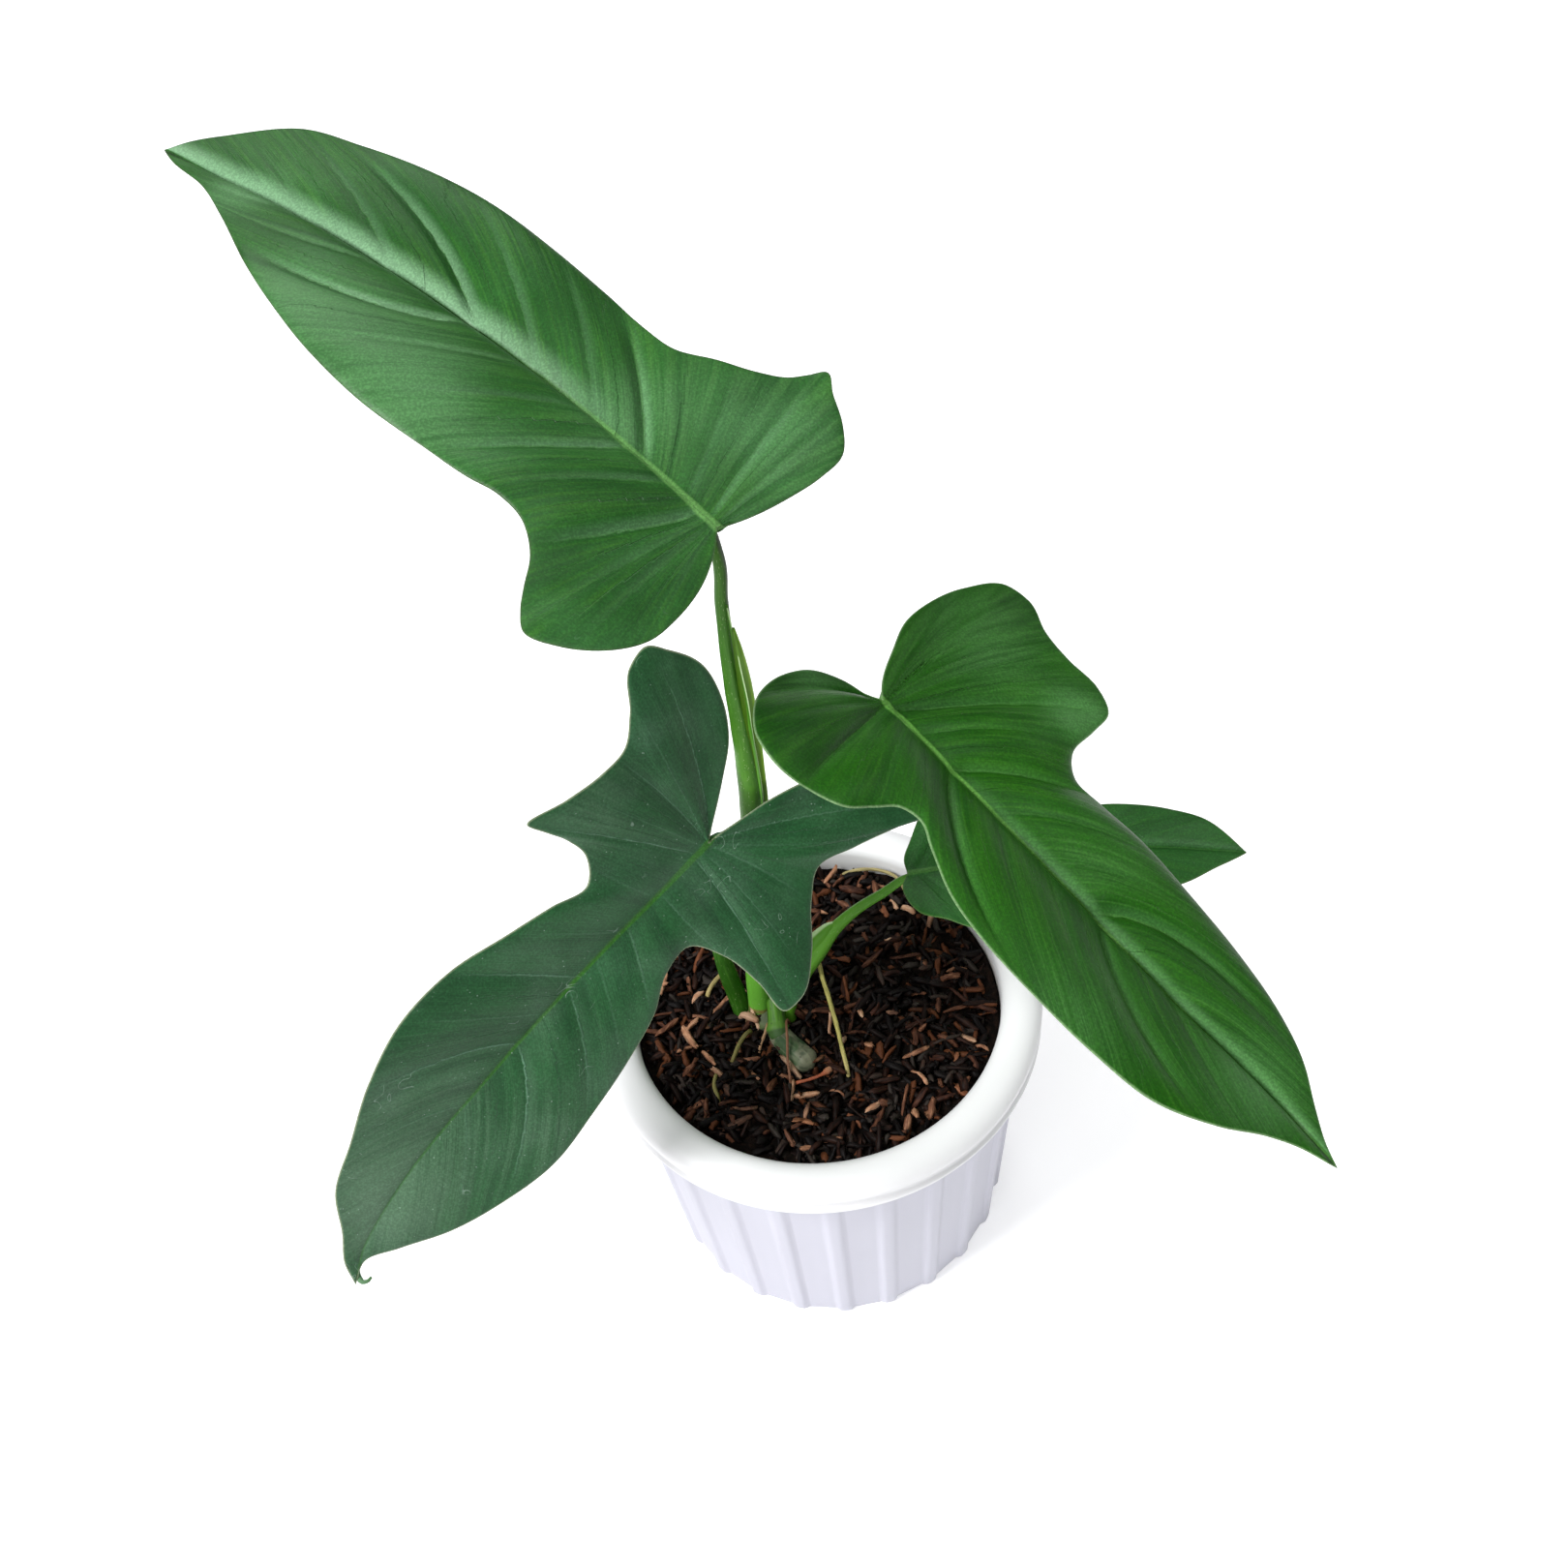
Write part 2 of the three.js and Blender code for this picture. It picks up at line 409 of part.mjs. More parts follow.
function soil() {
  const edge = potSize.mouthRadius - clearance - 0.3;
  const low = potSize.floorHeight + clearance;
  const lowRadius = potSize.floorRadius - clearance - 0.3;
  const vertices = [new THREE.Vector3(0, 0, soilHeight(0, 0))];
  const { segments, rings } = soilSize;
  const ring = (radius, heightAt) => {
    for (let s = 0; s < segments; s += 1) {
      const turn = (2 * Math.PI * s) / segments;
      const x = radius * Math.cos(turn);
      const y = radius * Math.sin(turn);
      vertices.push(new THREE.Vector3(x, y, heightAt(x, y)));
    }
  };
  rings.forEach((part) => ring(edge * part, soilHeight));
  ring(lowRadius, () => low);
  const bottom = vertices.push(new THREE.Vector3(0, 0, low)) - 1;
  const faces = [];
  const ringCount = rings.length + 1;
  for (let s = 0; s < segments; s += 1) {
    const next = (s + 1) % segments;
    faces.push([0, 1 + s, 1 + next]);
    for (let r = 0; r < ringCount - 1; r += 1) {
      const inner = 1 + r * segments;
      const outer = inner + segments;
      faces.push([inner + s, outer + s, outer + next], [inner + s, outer + next, inner + next]);
    }
    const last = 1 + (ringCount - 1) * segments;
    faces.push([bottom, last + next, last + s]);
  }
  const random = seededRandom(soilSize.seed);
  const chips = [];
  for (let i = 0; i < soilSize.chipCount; i += 1) {
    const length = random(...soilSize.chipLength);
    const reach = (edge - length / 2 - 0.5) * Math.sqrt(random(0, 1));
    const turn = random(0, 2 * Math.PI);
    chips.push(barkChip(reach * Math.cos(turn), reach * Math.sin(turn), length, random(...soilSize.chipWidth),
      random(...soilSize.chipThickness), random(0, Math.PI), random(-0.12, 0.12)));
  }
  return wasm.Manifold.union([solidOf(vertices, faces), ...chips]);
}

// Pieces are made from the cane outwards, and each is cut clear of those before it.
const made = [];
function grow(name, solid, cutter, finish) {
  const cleared = made.reduce((rest, other) => rest.subtract(other), solid);
  addPiece(name, mainBody(cleared), finish);
  made.push(cutter);
}

for (const [name, leaf] of Object.entries(blades)) {
  addPiece(name, blade(leaf, bladeThickness), finishes.blade);
  made.push(blade(leaf, bladeThickness + 2 * clearance));
}
const cane = (extra) => stem(crown, 10, 4, extra).add(stem(cutStub, 10, 4, extra));
grow('cane', cane(0), cane(clearance), finishes.cane);
for (const [name, points] of Object.entries(petioles)) {
  grow(name, stem(points, 8, 9), stem(points, 8, 9, clearance), finishes.petiole);
}
grow('new_leaf', stem(rolledLeaf, 8, 10), stem(rolledLeaf, 8, 10, clearance), finishes.rolled);
for (const [name, points] of Object.entries(roots)) {
  grow(name, stem(points, 6, 5), stem(points, 6, 5, clearance), finishes.root);
}
addPiece('soil', mainBody(made.reduce((rest, other) => rest.subtract(other), soil())), finishes.soil);
addPiece('pot', pot(), finishes.pot);

export default plant;
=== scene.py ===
# Potted horsehead philodendron: the finished look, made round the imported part.
# The front of the plant faces -Y. Tables are in millimetres, and makePiece turns them into metres.
import math

import bpy
import numpy as np
from mathutils import Matrix, Vector


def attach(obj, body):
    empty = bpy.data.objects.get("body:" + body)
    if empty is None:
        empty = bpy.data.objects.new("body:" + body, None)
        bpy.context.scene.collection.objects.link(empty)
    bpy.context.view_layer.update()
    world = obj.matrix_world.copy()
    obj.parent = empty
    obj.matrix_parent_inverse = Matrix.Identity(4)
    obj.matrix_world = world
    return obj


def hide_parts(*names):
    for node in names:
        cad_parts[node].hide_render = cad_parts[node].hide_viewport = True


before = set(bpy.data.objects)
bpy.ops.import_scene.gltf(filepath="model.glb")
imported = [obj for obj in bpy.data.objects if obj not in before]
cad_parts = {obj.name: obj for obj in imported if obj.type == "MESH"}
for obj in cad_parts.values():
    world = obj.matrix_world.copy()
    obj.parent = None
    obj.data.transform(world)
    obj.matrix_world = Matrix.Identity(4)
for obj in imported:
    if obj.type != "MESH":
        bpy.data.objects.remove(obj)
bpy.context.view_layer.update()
mm = 0.001
fullTurn = 2 * math.pi

# Camera and light
viewSettings = {
    "place": (0, -0.4036, 0.7222), "right": (0.9923, -0.094, -0.0801), "up": (0.1235, 0.7698, 0.6263),
    "forward": (-0.0029, 0.6314, -0.7755), "lens": 50, "sensor": 36, "nearest": 0.02, "farthest": 30,
}
lamps = {
    "key": {"place": (-1.75, -0.8, 2.5), "size": 1.1, "power": 106, "aim": (-0.02, 0, 0.2)},
    "front": {"place": (-1.1, -2.3, 1.3), "size": 1.7, "power": 22, "aim": (0, 0, 0.1)},
    "fill": {"place": (0.9, 0.3, 2.8), "size": 1.6, "power": 24, "aim": (0.1, 0, 0)},
    "back": {"place": (-0.4, 2.5, 1.7), "size": 1.4, "power": 14, "aim": (0, 0, 0.3)},
    "side": {"place": (2.2, 1.6, 1.4), "size": 0.7, "power": 4, "aim": (0.05, 0, 0.25)},
}
skySettings = {"low": 0.12, "high": 0.32, "from": 0.05, "to": 0.85}  # brighter overhead than at the horizon
floorSettings = {"tone": (0.9, 0.9, 0.91), "glow": 0.35, "radius": 1.8, "sides": 96, "roughness": 0.9}


def addObject(name, data):
    made = bpy.data.objects.new(name, data)
    bpy.context.scene.collection.objects.link(made)
    return made


def makeCamera():
    camera = addObject("camera", bpy.data.cameras.new("camera"))
    right, up, forward = (Vector(viewSettings[key]).normalized() for key in ("right", "up", "forward"))
    turn = Matrix((right, up, -forward)).transposed().to_4x4()
    camera.matrix_world = Matrix.Translation(viewSettings["place"]) @ turn
    camera.data.lens = viewSettings["lens"]
    camera.data.sensor_width = viewSettings["sensor"]
    camera.data.clip_start = viewSettings["nearest"]
    camera.data.clip_end = viewSettings["farthest"]
    bpy.context.scene.camera = camera


def makeLamp(name, place, size, power, aim):
    lamp = bpy.data.lights.new(name, "AREA")
    lamp.size = size
    lamp.energy = power
    holder = addObject(name, lamp)
    holder.location = place
    holder.rotation_euler = (Vector(aim) - Vector(place)).to_track_quat("-Z", "Y").to_euler()


# Materials. A Value is a number or a colour that the nodes work out, and Nodes builds those nodes.
class Value:
    def __init__(self, nodes, socket):
        self.nodes = nodes
        self.socket = socket

    def calc(self, operation, other=0.0):
        return self.nodes.add("Math", {0: self, 1: other}, operation=operation)

    def __add__(self, other):
        return self.calc("ADD", other)

    def __sub__(self, other):
        return self.calc("SUBTRACT", other)

    def __mul__(self, other):
        return self.calc("MULTIPLY", other)

    def __abs__(self):
        return self.calc("ABSOLUTE")

    def ease(self, low, high, first=0.0, last=1.0):  # smooth step from first to last between low and high
        steps = {0: self, 1: low, 2: high, 3: first, 4: last}
        return self.nodes.add("MapRange", steps, interpolation_type="SMOOTHSTEP")

    def mix(self, share, colour):  # this colour with a share of another
        return self.nodes.blend(share, self, colour)


class Nodes:
    def __init__(self, owner, **sockets):
        owner.use_nodes = True
        self.owner = owner
        self.tree = owner.node_tree
        self.shader = self.tree.nodes.get("Principled BSDF")
        for name, value in sockets.items():
            self.put(value, self.shader.inputs[name.replace("_", " ")])

    def put(self, value, socket):
        if isinstance(value, Value):
            self.tree.links.new(value.socket, socket)
        else:
            socket.default_value = value

    def add(self, kind, inputs, output=0, **settings):
        made = self.tree.nodes.new("ShaderNode" + kind)
        for key, value in settings.items():
            setattr(made, key, value)
        for key, value in inputs.items():
            self.put(value, made.inputs[key])
        return Value(self, made.outputs[output])

    def parts(self, vector):
        separated = self.add("SeparateXYZ", {0: vector}).socket.node
        return [Value(self, socket) for socket in separated.outputs]

    def attribute(self, name):
        return self.parts(self.add("Attribute", {}, "Vector", attribute_name=name))

    def place(self, space="Object"):
        return self.add("TexCoord", {}, space)

    def blend(self, share, low, high, kind="MIX"):
        low, high = (value if isinstance(value, Value) else (*value, 1) for value in (low, high))
        return self.add("Mix", {0: share, 6: low, 7: high}, 2, data_type="RGBA", blend_type=kind)

    def cloud(self, place, scale, detail=2.0, rough=0.5, warp=0.0):
        return self.add("TexNoise", {"Vector": place, "Scale": scale, "Detail": detail, "Roughness": rough,
                                     "Distortion": warp})

    def cells(self, place, scale):
        return self.add("TexVoronoi", {"Vector": place, "Scale": scale}, "Distance")

    def fibres(self, grain, across, along, shift=0.0, detail=2.0, rough=0.5, scale=1.0):
        # noise that is close across the grain and long along it
        first, second, third = grain
        stretched = self.add("CombineXYZ", {0: first * across, 1: second * along, 2: third + shift})
        return self.cloud(stretched, scale, detail, rough)

    def finished(self, colour, height, distance, strength=1.0):
        bump = self.add("Bump", {"Height": height, "Distance": distance, "Strength": strength})
        self.put(colour, self.shader.inputs["Base Color"])
        self.put(bump, self.shader.inputs["Normal"])
        return self.owner


def newFinish(name, **sockets):
    return Nodes(bpy.data.materials.new(name), **sockets)


# Meshes
def makePiece(name, points, faces, finish, replaced=None, values=None):
    data = bpy.data.meshes.new(name)
    data.from_pydata((np.asarray(points, float) * mm).tolist(), [], faces)
    for label, numbers in (values or {}).items():
        layer = data.attributes.new(label, "FLOAT_VECTOR", "POINT")
        layer.data.foreach_set("vector", np.asarray(numbers, np.float32).ravel())
    data.polygons.foreach_set("use_smooth", np.ones(len(data.polygons), bool))
    data.materials.append(finish)
    data.update()
    piece = addObject(name, data)
    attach(piece, "root")
    if replaced:
        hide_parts(replaced)
    return piece


def gridFaces(index, closed=False):  # quads between the rows of an array of vertex numbers
    if closed:
        index = np.concatenate([index, index[:, :1]], 1)
    corners = [index[:-1, :-1], index[:-1, 1:], index[1:, 1:], index[1:, :-1]]
    return np.stack(corners, -1).reshape(-1, 4).tolist()


def capFaces(foot, low, head, high):  # triangles that close a tube at both ends, from a vertex to a ring
    faces = []
    for k in range(len(low)):
        faces += [[foot, low[k - len(low) + 1], low[k]], [head, high[k], high[k - len(high) + 1]]]
    return faces


def smoothCurve(rows, count):  # through rows of numbers, one knot a row, spaced by the first count columns
    rows = np.array(rows, float)
    gaps = np.maximum(np.linalg.norm(np.diff(rows[:, :count], axis=0), axis=1), 1e-6)[:, None]
    slopes = np.diff(rows, axis=0) / gaps
    middle = (slopes[:-1] * gaps[1:] + slopes[1:] * gaps[:-1]) / (gaps[1:] + gaps[:-1])
    tangents = np.vstack([slopes[:1], middle, slopes[-1:]])

    def at(place):
        i = np.clip(np.floor(place).astype(int), 0, len(rows) - 2)
        f = (place - i)[..., None]
        return (rows[i] * (1 + 2 * f) * (1 - f) ** 2 + tangents[i] * gaps[i] * f * (1 - f) ** 2
                + rows[i + 1] * f * f * (3 - 2 * f) + tangents[i + 1] * gaps[i] * f * f * (f - 1))
    return at


def unit(vectors):
    return vectors / np.maximum(np.linalg.norm(vectors, axis=-1, keepdims=True), 1e-9)


def bent(root, bend, end, f):  # a curve from root to end, pulled towards bend
    return root * (1 - f) ** 2 + bend * 2 * f * (1 - f) + end * f * f


def arched(share):  # 0 at both ends and 1 in the middle
    return 4 * share * (1 - share)


def between(pair, share):
    return pair[0] + (pair[1] - pair[0]) * share


# Leaf blades. base, tip and side set the blade's plane, bow lifts the midrib's middle, fold raises the
# halves, at the foot and at the tip, and curl turns the margins down. Each vein is its root on the midrib,
# then the margin's point on the right and on the left, each as along, across, lift. bulge swings the rows
# out, and tuck more so by the foot. swell rounds each half up between midrib and margin, and pillow does so
# between the main laterals. Laterals are the veins that show, first the right half's: root, bend and end as
# along, across, then depth. Tones are soft patches of painted sheen and painted shade as (along, across,
# reach, strength): painted sheen above zero, painted shade below it.
bladeFinish = {
    "thickness": 0.62, "thinner": 0.6, "edge": 0.22, "rowStep": 1.25, "columns": 40, "crowding": 1.35,
    "margin": (0.988, 0.996, 1), "tuckedRows": (2, 6), "mainDepth": 0.65, "depthPower": 1.5,
    "lateralSteps": 41, "lineWidth": 0.55, "keel": 0.45, "pillowSpan": 22, "pillowLimit": 1.2,
    "seedStep": 3.1, "leftSeed": 40,
}
blades = {
    "leaf_upper_left": {
        "base": (-10.5, 3, 330), "tip": (-162, 168, 352), "side": (0.72, 0.68, -0.12),
        "bow": 14, "fold": (0.13, 0.13), "curl": 0.0005, "bulge": 0.55, "tuck": 0,
        "swell": (0.8, 2.4), "pillow": 2.8,
        "midrib": [(0, 0), (60, 1), (120, 1), (180, 1), (226, 1)],
        "ribWidth": (1.7, 0.5), "ribRise": (0.5, 0.3), "crease": (0.5, 3.2), "creaseWidth": (4.8, 2.2),
        "tones": [(123, -30, 30, 0.75), (75, -32, 24, 0.8), (42, 10, 18, 0.55), (10, 33, 20, 0.5),
                  (181, -3, 14, 0.9), (136, 16, 28, -0.7), (78, 18, 22, -0.6), (6, -43, 16, -0.4),
                  (60, -18, 12, -0.3)],
        "veinDepth": 2.6, "veinWidth": 2.2,
        "veins": [
            (0.3, -3, 8, 0, -4, -5, 0), (0.6, -6, 22, 0, -10, -15, 0), (1, -7, 33, 0, -15, -31, 0),
            (1.5, -5, 44, -1, -16, -41, 0), (2.2, 1, 50, 0, -13, -53, 1), (3, 8, 54, 1, -6, -62, 1),
            (3.8, 15, 59, 0, 2, -66, 0), (5, 18, 55, -1, 9, -61, -2), (7, 21, 50, -1, 14, -55, -2),
            (10, 27, 44, 0, 19, -48, 0), (14, 36, 38, 1, 27, -43, 2), (20, 46, 32, 1, 36, -42, 2),
            (29, 58, 32, 0, 47, -43, 0), (40, 73, 34, -1, 62, -44, -1), (54, 93, 35, 0, 82, -46, 0),
            (70, 120, 36, 1, 104, -44, 1), (88, 147, 36, 0, 128, -37, 0),
            (110, 174, 34, -1, 151, -28, -1), (138, 197, 29, 0, 175, -17, 0),
            (170, 213, 17, 0, 196, -8, 0), (205, 224, 6, 0, 216, -3, 0),
        ],
        "laterals": (
            [(0.5, 1, -1, 14, -5, 30, 0.2), (1.5, 1, 3, 20, 2, 48, 0.35), (4, 1, 9, 18, 16, 54, 0.45),
             (12, 1, 18, 15, 30, 40, 0.3), (27, 1, 40, 15, 62, 30, 0.7), (46, 1, 62, 16, 92, 33, 0.35),
             (67, 1, 88, 16, 125, 33, 0.45), (89, 1, 120, 19, 168, 29, 1),
             (122, 1, 148, 13, 188, 26, 0.5), (158, 1, 180, 9, 206, 18, 0.3),
             (190, 1, 203, 5, 218, 10, 0.1)],
            [(0.5, 0, -5, -16, -14, -35, 0.2), (1.5, 0, -2, -28, -8, -58, 0.3),
             (3, 0, 4, -30, 5, -61, 0.3), (6, 0, 11, -22, 21, -46, 0.66), (18, 0, 26, -20, 38, -41, 0.4),
             (33, 0, 43, -20, 58, -42, 0.7), (50, 0, 60, -20, 82, -44, 0.35),
             (70, 0, 82, -22, 110, -41, 0.45), (93, 0, 106, -24, 158, -23, 1),
             (124, 1, 142, -14, 176, -14, 0.5), (158, 1, 172, -8, 196, -7, 0.3),
             (190, 1, 200, -4, 214, -3, 0.1)],
        ),
    },
    "leaf_front_left": {
        "base": (-25.7, -12.3, 219), "tip": (-147, -93, 131), "side": (0.63, -0.13, -0.76),
        "bow": 6, "fold": (0.16, 0.16), "curl": 0.0006, "bulge": 0.46, "tuck": 1,
        "swell": (0.6, 0.6), "pillow": 1.3,
        "midrib": [(0, 0), (46, -8), (94, -12), (130, -12), (150, -9), (160, -6.5), (172, 0)],
        "ribWidth": (1.3, 0.5), "ribRise": (0.3, 0.1), "crease": (0.5, 0.8), "creaseWidth": (3.2, 3.2),
        "tones": [(142, -12, 20, 0.9), (110, -19, 25, 0.3), (12, -42, 16, 0.35), (101, 14, 16, 0.35),
                  (-30, -38, 15, -0.3), (12, 12, 14, -0.2)],
        "veinDepth": 0.65, "veinWidth": 3,
        "veins": [
            (0.5, -9, 3.6, 0, -6, -2.8, 0), (1, -20, 8.2, 0, -17, -8.4, 0),
            (1.4, -29, 13.4, 0, -28, -14.8, 0), (1.7, -38, 21, -1, -36, -24, 0),
            (1.9, -46, 32, -1, -41, -37, 0), (2.1, -50, 46, 0, -39, -49, 1),
            (2.4, -46, 55, 1, -36, -56, 1), (2.8, -37, 49, 0, -29, -56, 0),
            (3.4, -24, 40, 0, -18, -47, -1), (4, -12, 34, -1, -9, -42, -1), (4.6, -3, 38, 0, 0, -44, 0),
            (5.4, 9, 47, 1, 11, -49, 1), (6.4, 22, 53, 1, 23, -54, 0), (7.6, 28, 52, 0, 22, -48, 0),
            (9.5, 26, 40, -1, 21, -40, -1), (13, 25, 25, -1, 22, -32, -1), (18, 29, 13, 0, 29, -26, 0),
            (26, 38, 12, 1, 39, -32, 1), (36, 50, 17, 0, 53, -38, 0), (48, 66, 20, -1, 70, -45, -1),
            (62, 85, 21, 0, 90, -48, 0), (78, 105, 21, 1, 110, -44, 1), (96, 124, 17, 0, 130, -35, 0),
            (120, 141, 11, -1, 147, -27, -1), (140, 154, 2, 0, 158, -16, 0),
            (157, 163.5, -3.2, 0, 167, -8, 0),
        ],
        "laterals": (
            [(0, 0, -16, 12, -42, 44, 0.8), (0.5, 0, -10, 18, -26, 38, 0.4), (1, 0, -4, 18, -3, 35, 0.6),
             (3, 0, 5, 20, 14, 46, 0.5), (6, -1, 11, 18, 25, 50, 1), (20, -3, 24, 12, 26, 34, 0.5),
             (33, -6, 42, 6, 50, 15, 0.6), (46, -8, 56, 6, 68, 18, 0.35), (58, -9, 70, 8, 86, 19, 0.7),
             (80, -11, 90, 4, 118, 15, 1), (104, -12, 116, -2, 134, 8, 0.4),
             (128, -12, 138, -6, 150, 0, 0.2), (148, -11, 154, -8, 161, -4, 0.1)],
            [(-1, -1, -18, -16, -35, -50, 1), (0, -1, -10, -22, -20, -46, 0.5),
             (0, -1, -5, -20, -6, -41, 0.7), (2, -1, 4, -24, 8, -46, 0.4), (5, -2, 11, -24, 21, -50, 1),
             (22, -5, 23, -18, 24, -30, 0.4), (36, -7, 41, -18, 50, -35, 0.3),
             (54, -9, 58, -22, 70, -43, 0.8), (68, -10, 74, -24, 88, -46, 0.35),
             (80, -11, 86, -26, 112, -42, 1), (104, -12, 112, -24, 134, -33, 0.4),
             (126, -12, 134, -18, 148, -25, 0.25), (146, -11, 152, -13, 158, -15, 0.1)],
        ),
    },
    "leaf_right": {
        "base": (28.5, -3, 262), "tip": (127, -139, 215), "side": (0.68, 0.62, -0.38),
        "bow": 2, "fold": (0.14, 0.04), "curl": 0.0006, "bulge": 0.55, "tuck": 1,
        "swell": (1.4, 1.4), "pillow": 2.8,
        "midrib": [(0, 0), (60, 0), (120, 0), (155, 2), (175, 0)],
        "ribWidth": (1.6, 0.5), "ribRise": (0.5, 0.3), "crease": (0.5, 2.6), "creaseWidth": (3.6, 2.2),
        "tones": [(-2, 46, 24, 0.55), (36, 50, 10, 1.2), (-14, -16, 10, 0.7), (104, -37, 18, 0.5),
                  (146, -1, 16, 0.75), (75, 14, 26, 0.25), (46, 6, 14, -0.3), (95, -14, 18, -0.3)],
        "veinDepth": 2.6, "veinWidth": 2.2,
        "veins": [
            (0.4, -5, 5.4, 0, -4, -2.4, 0), (0.8, -12, 17, 0, -11, -6.4, 0),
            (1, -18, 29, 0, -17, -13, 0), (1.4, -20, 42, 0, -19, -24, 0), (1.8, -19, 57, 0, -17, -36, 0),
            (2.3, -13, 70, 1, -11, -47, 1), (2.8, -5, 73, 0, -3, -54, 1), (3.4, 6, 69, -1, 7, -55, 0),
            (4.2, 18, 66, 0, 17, -51, -1), (5, 30, 65, 1, 25, -47, 0), (6.4, 39, 60, 1, 29, -38, 0),
            (9, 41, 51, 0, 33, -31, 1), (14, 43, 39, -1, 38, -29, 1), (22, 50, 32, -1, 47, -33, 0),
            (32, 61, 31, 0, 60, -39, -1), (44, 77, 31, 1, 76, -43, 0), (58, 96, 31, 0, 94, -44, 1),
            (74, 117, 30, -1, 114, -41, 0), (92, 135, 25, 0, 133, -35, -1),
            (112, 150, 17, 1, 148, -24, 0), (134, 160, 10, 0, 158, -12, 0), (154, 168, 4, 0, 166, -5, 0),
        ],
        "laterals": (
            [(0.5, 0, -9, 18, -17, 44, 0.35), (1, 0, -9, 28, 3, 68, 0.6), (2, 0, 3, 28, 14, 64, 0.5),
             (4, 0, 15, 30, 37, 58, 1), (14, 0, 25, 20, 42, 44, 0.5), (28, 0, 36, 14, 56, 30, 0.8),
             (45, 0, 60, 16, 84, 29, 0.4), (64, 0, 78, 14, 108, 28, 0.4), (84, 0, 96, 22, 142, 18, 1),
             (110, 0, 128, 10, 152, 12, 0.4), (138, 1, 150, 6, 163, 7, 0.2)],
            [(0, -1, -14, -12, -15, -38, 0.7), (1, 0, -4, -22, -6, -50, 0.4),
             (2, 0, 6, -22, 14, -51, 0.7), (10, 0, 17, -18, 29, -37, 0.4),
             (28, 0, 46, -28, 82, -41, 0.8), (46, 0, 64, -24, 98, -41, 0.4),
             (66, 0, 82, -22, 118, -38, 0.4), (87, 0, 104, -22, 140, -26, 0.9),
             (112, 0, 128, -12, 152, -17, 0.4), (138, 1, 148, -6, 160, -9, 0.2)],
        ),
    },
    "leaf_back_right": {
        "base": (34.5, 18.7, 150), "tip": (144, 11.5, 148), "side": (0.06, 1, 0),
        "bow": 5, "fold": (0.15, 0.15), "curl": 0.001, "bulge": 0.55, "tuck": 0,
        "swell": (0.6, 0.6), "pillow": 0.8,
        "midrib": [(0, 0), (35, 0), (75, 2), (110, 0)],
        "ribWidth": (1.2, 0.4), "ribRise": (0.35, 0.2), "crease": (0.4, 0.8), "creaseWidth": (2.8, 2.8),
        "tones": [(83, 4, 14, -0.2)],
        "veinDepth": 0.7, "veinWidth": 2.6,
        "veins": [
            (0.4, -1, 5, 0, -2, -5, 0), (0.8, 1.5, 12, 0, -1, -11, 0), (1.2, 6, 22, 0, 3, -18, 0),
            (1.6, 14, 31, 1, 11, -23, 1), (2.4, 22, 33, 0, 21, -28, 0), (4, 29, 28, -1, 29, -27, -1),
            (7, 34, 21, 0, 35, -20, 0), (13, 43, 17, 1, 44, -16, 1), (22, 56, 18, 0, 58, -18, 0),
            (34, 71, 19, -1, 73, -18, -1), (50, 87, 16, 0, 88, -14, 0), (68, 99, 11, 1, 99, -7, 0),
            (90, 107, 4, 0, 107, -2, 0),
        ],
        "laterals": (
            [(0.5, 0, 5, 10, 14, 29, 0.6), (4, 0, 14, 14, 27, 28, 0.7), (16, 0, 26, 9, 40, 17, 0.5),
             (30, 0, 42, 9, 62, 17, 0.5), (48, 1, 60, 9, 80, 17, 0.6), (70, 2, 80, 6, 96, 11, 0.3)],
            [(0.5, 0, 4, -8, 9, -21, 0.6), (4, 0, 13, -12, 25, -26, 0.7), (16, 0, 26, -9, 41, -16, 0.5),
             (30, 0, 42, -9, 64, -17, 0.5), (48, 1, 60, -8, 82, -15, 0.6), (70, 2, 80, -5, 97, -7, 0.3)],
        ),
    },
}


def midribAcross(leaf, along):
    rows = np.array(leaf["midrib"], float)
    i = np.clip(np.searchsorted(rows[:, 0], along, side="right") - 1, 0, len(rows) - 2)
    part = np.clip((along - rows[i, 0]) / (rows[i + 1, 0] - rows[i, 0]), 0, 1)
    return smoothCurve(rows, 2)(i + part)[..., 1] * (along > 0)


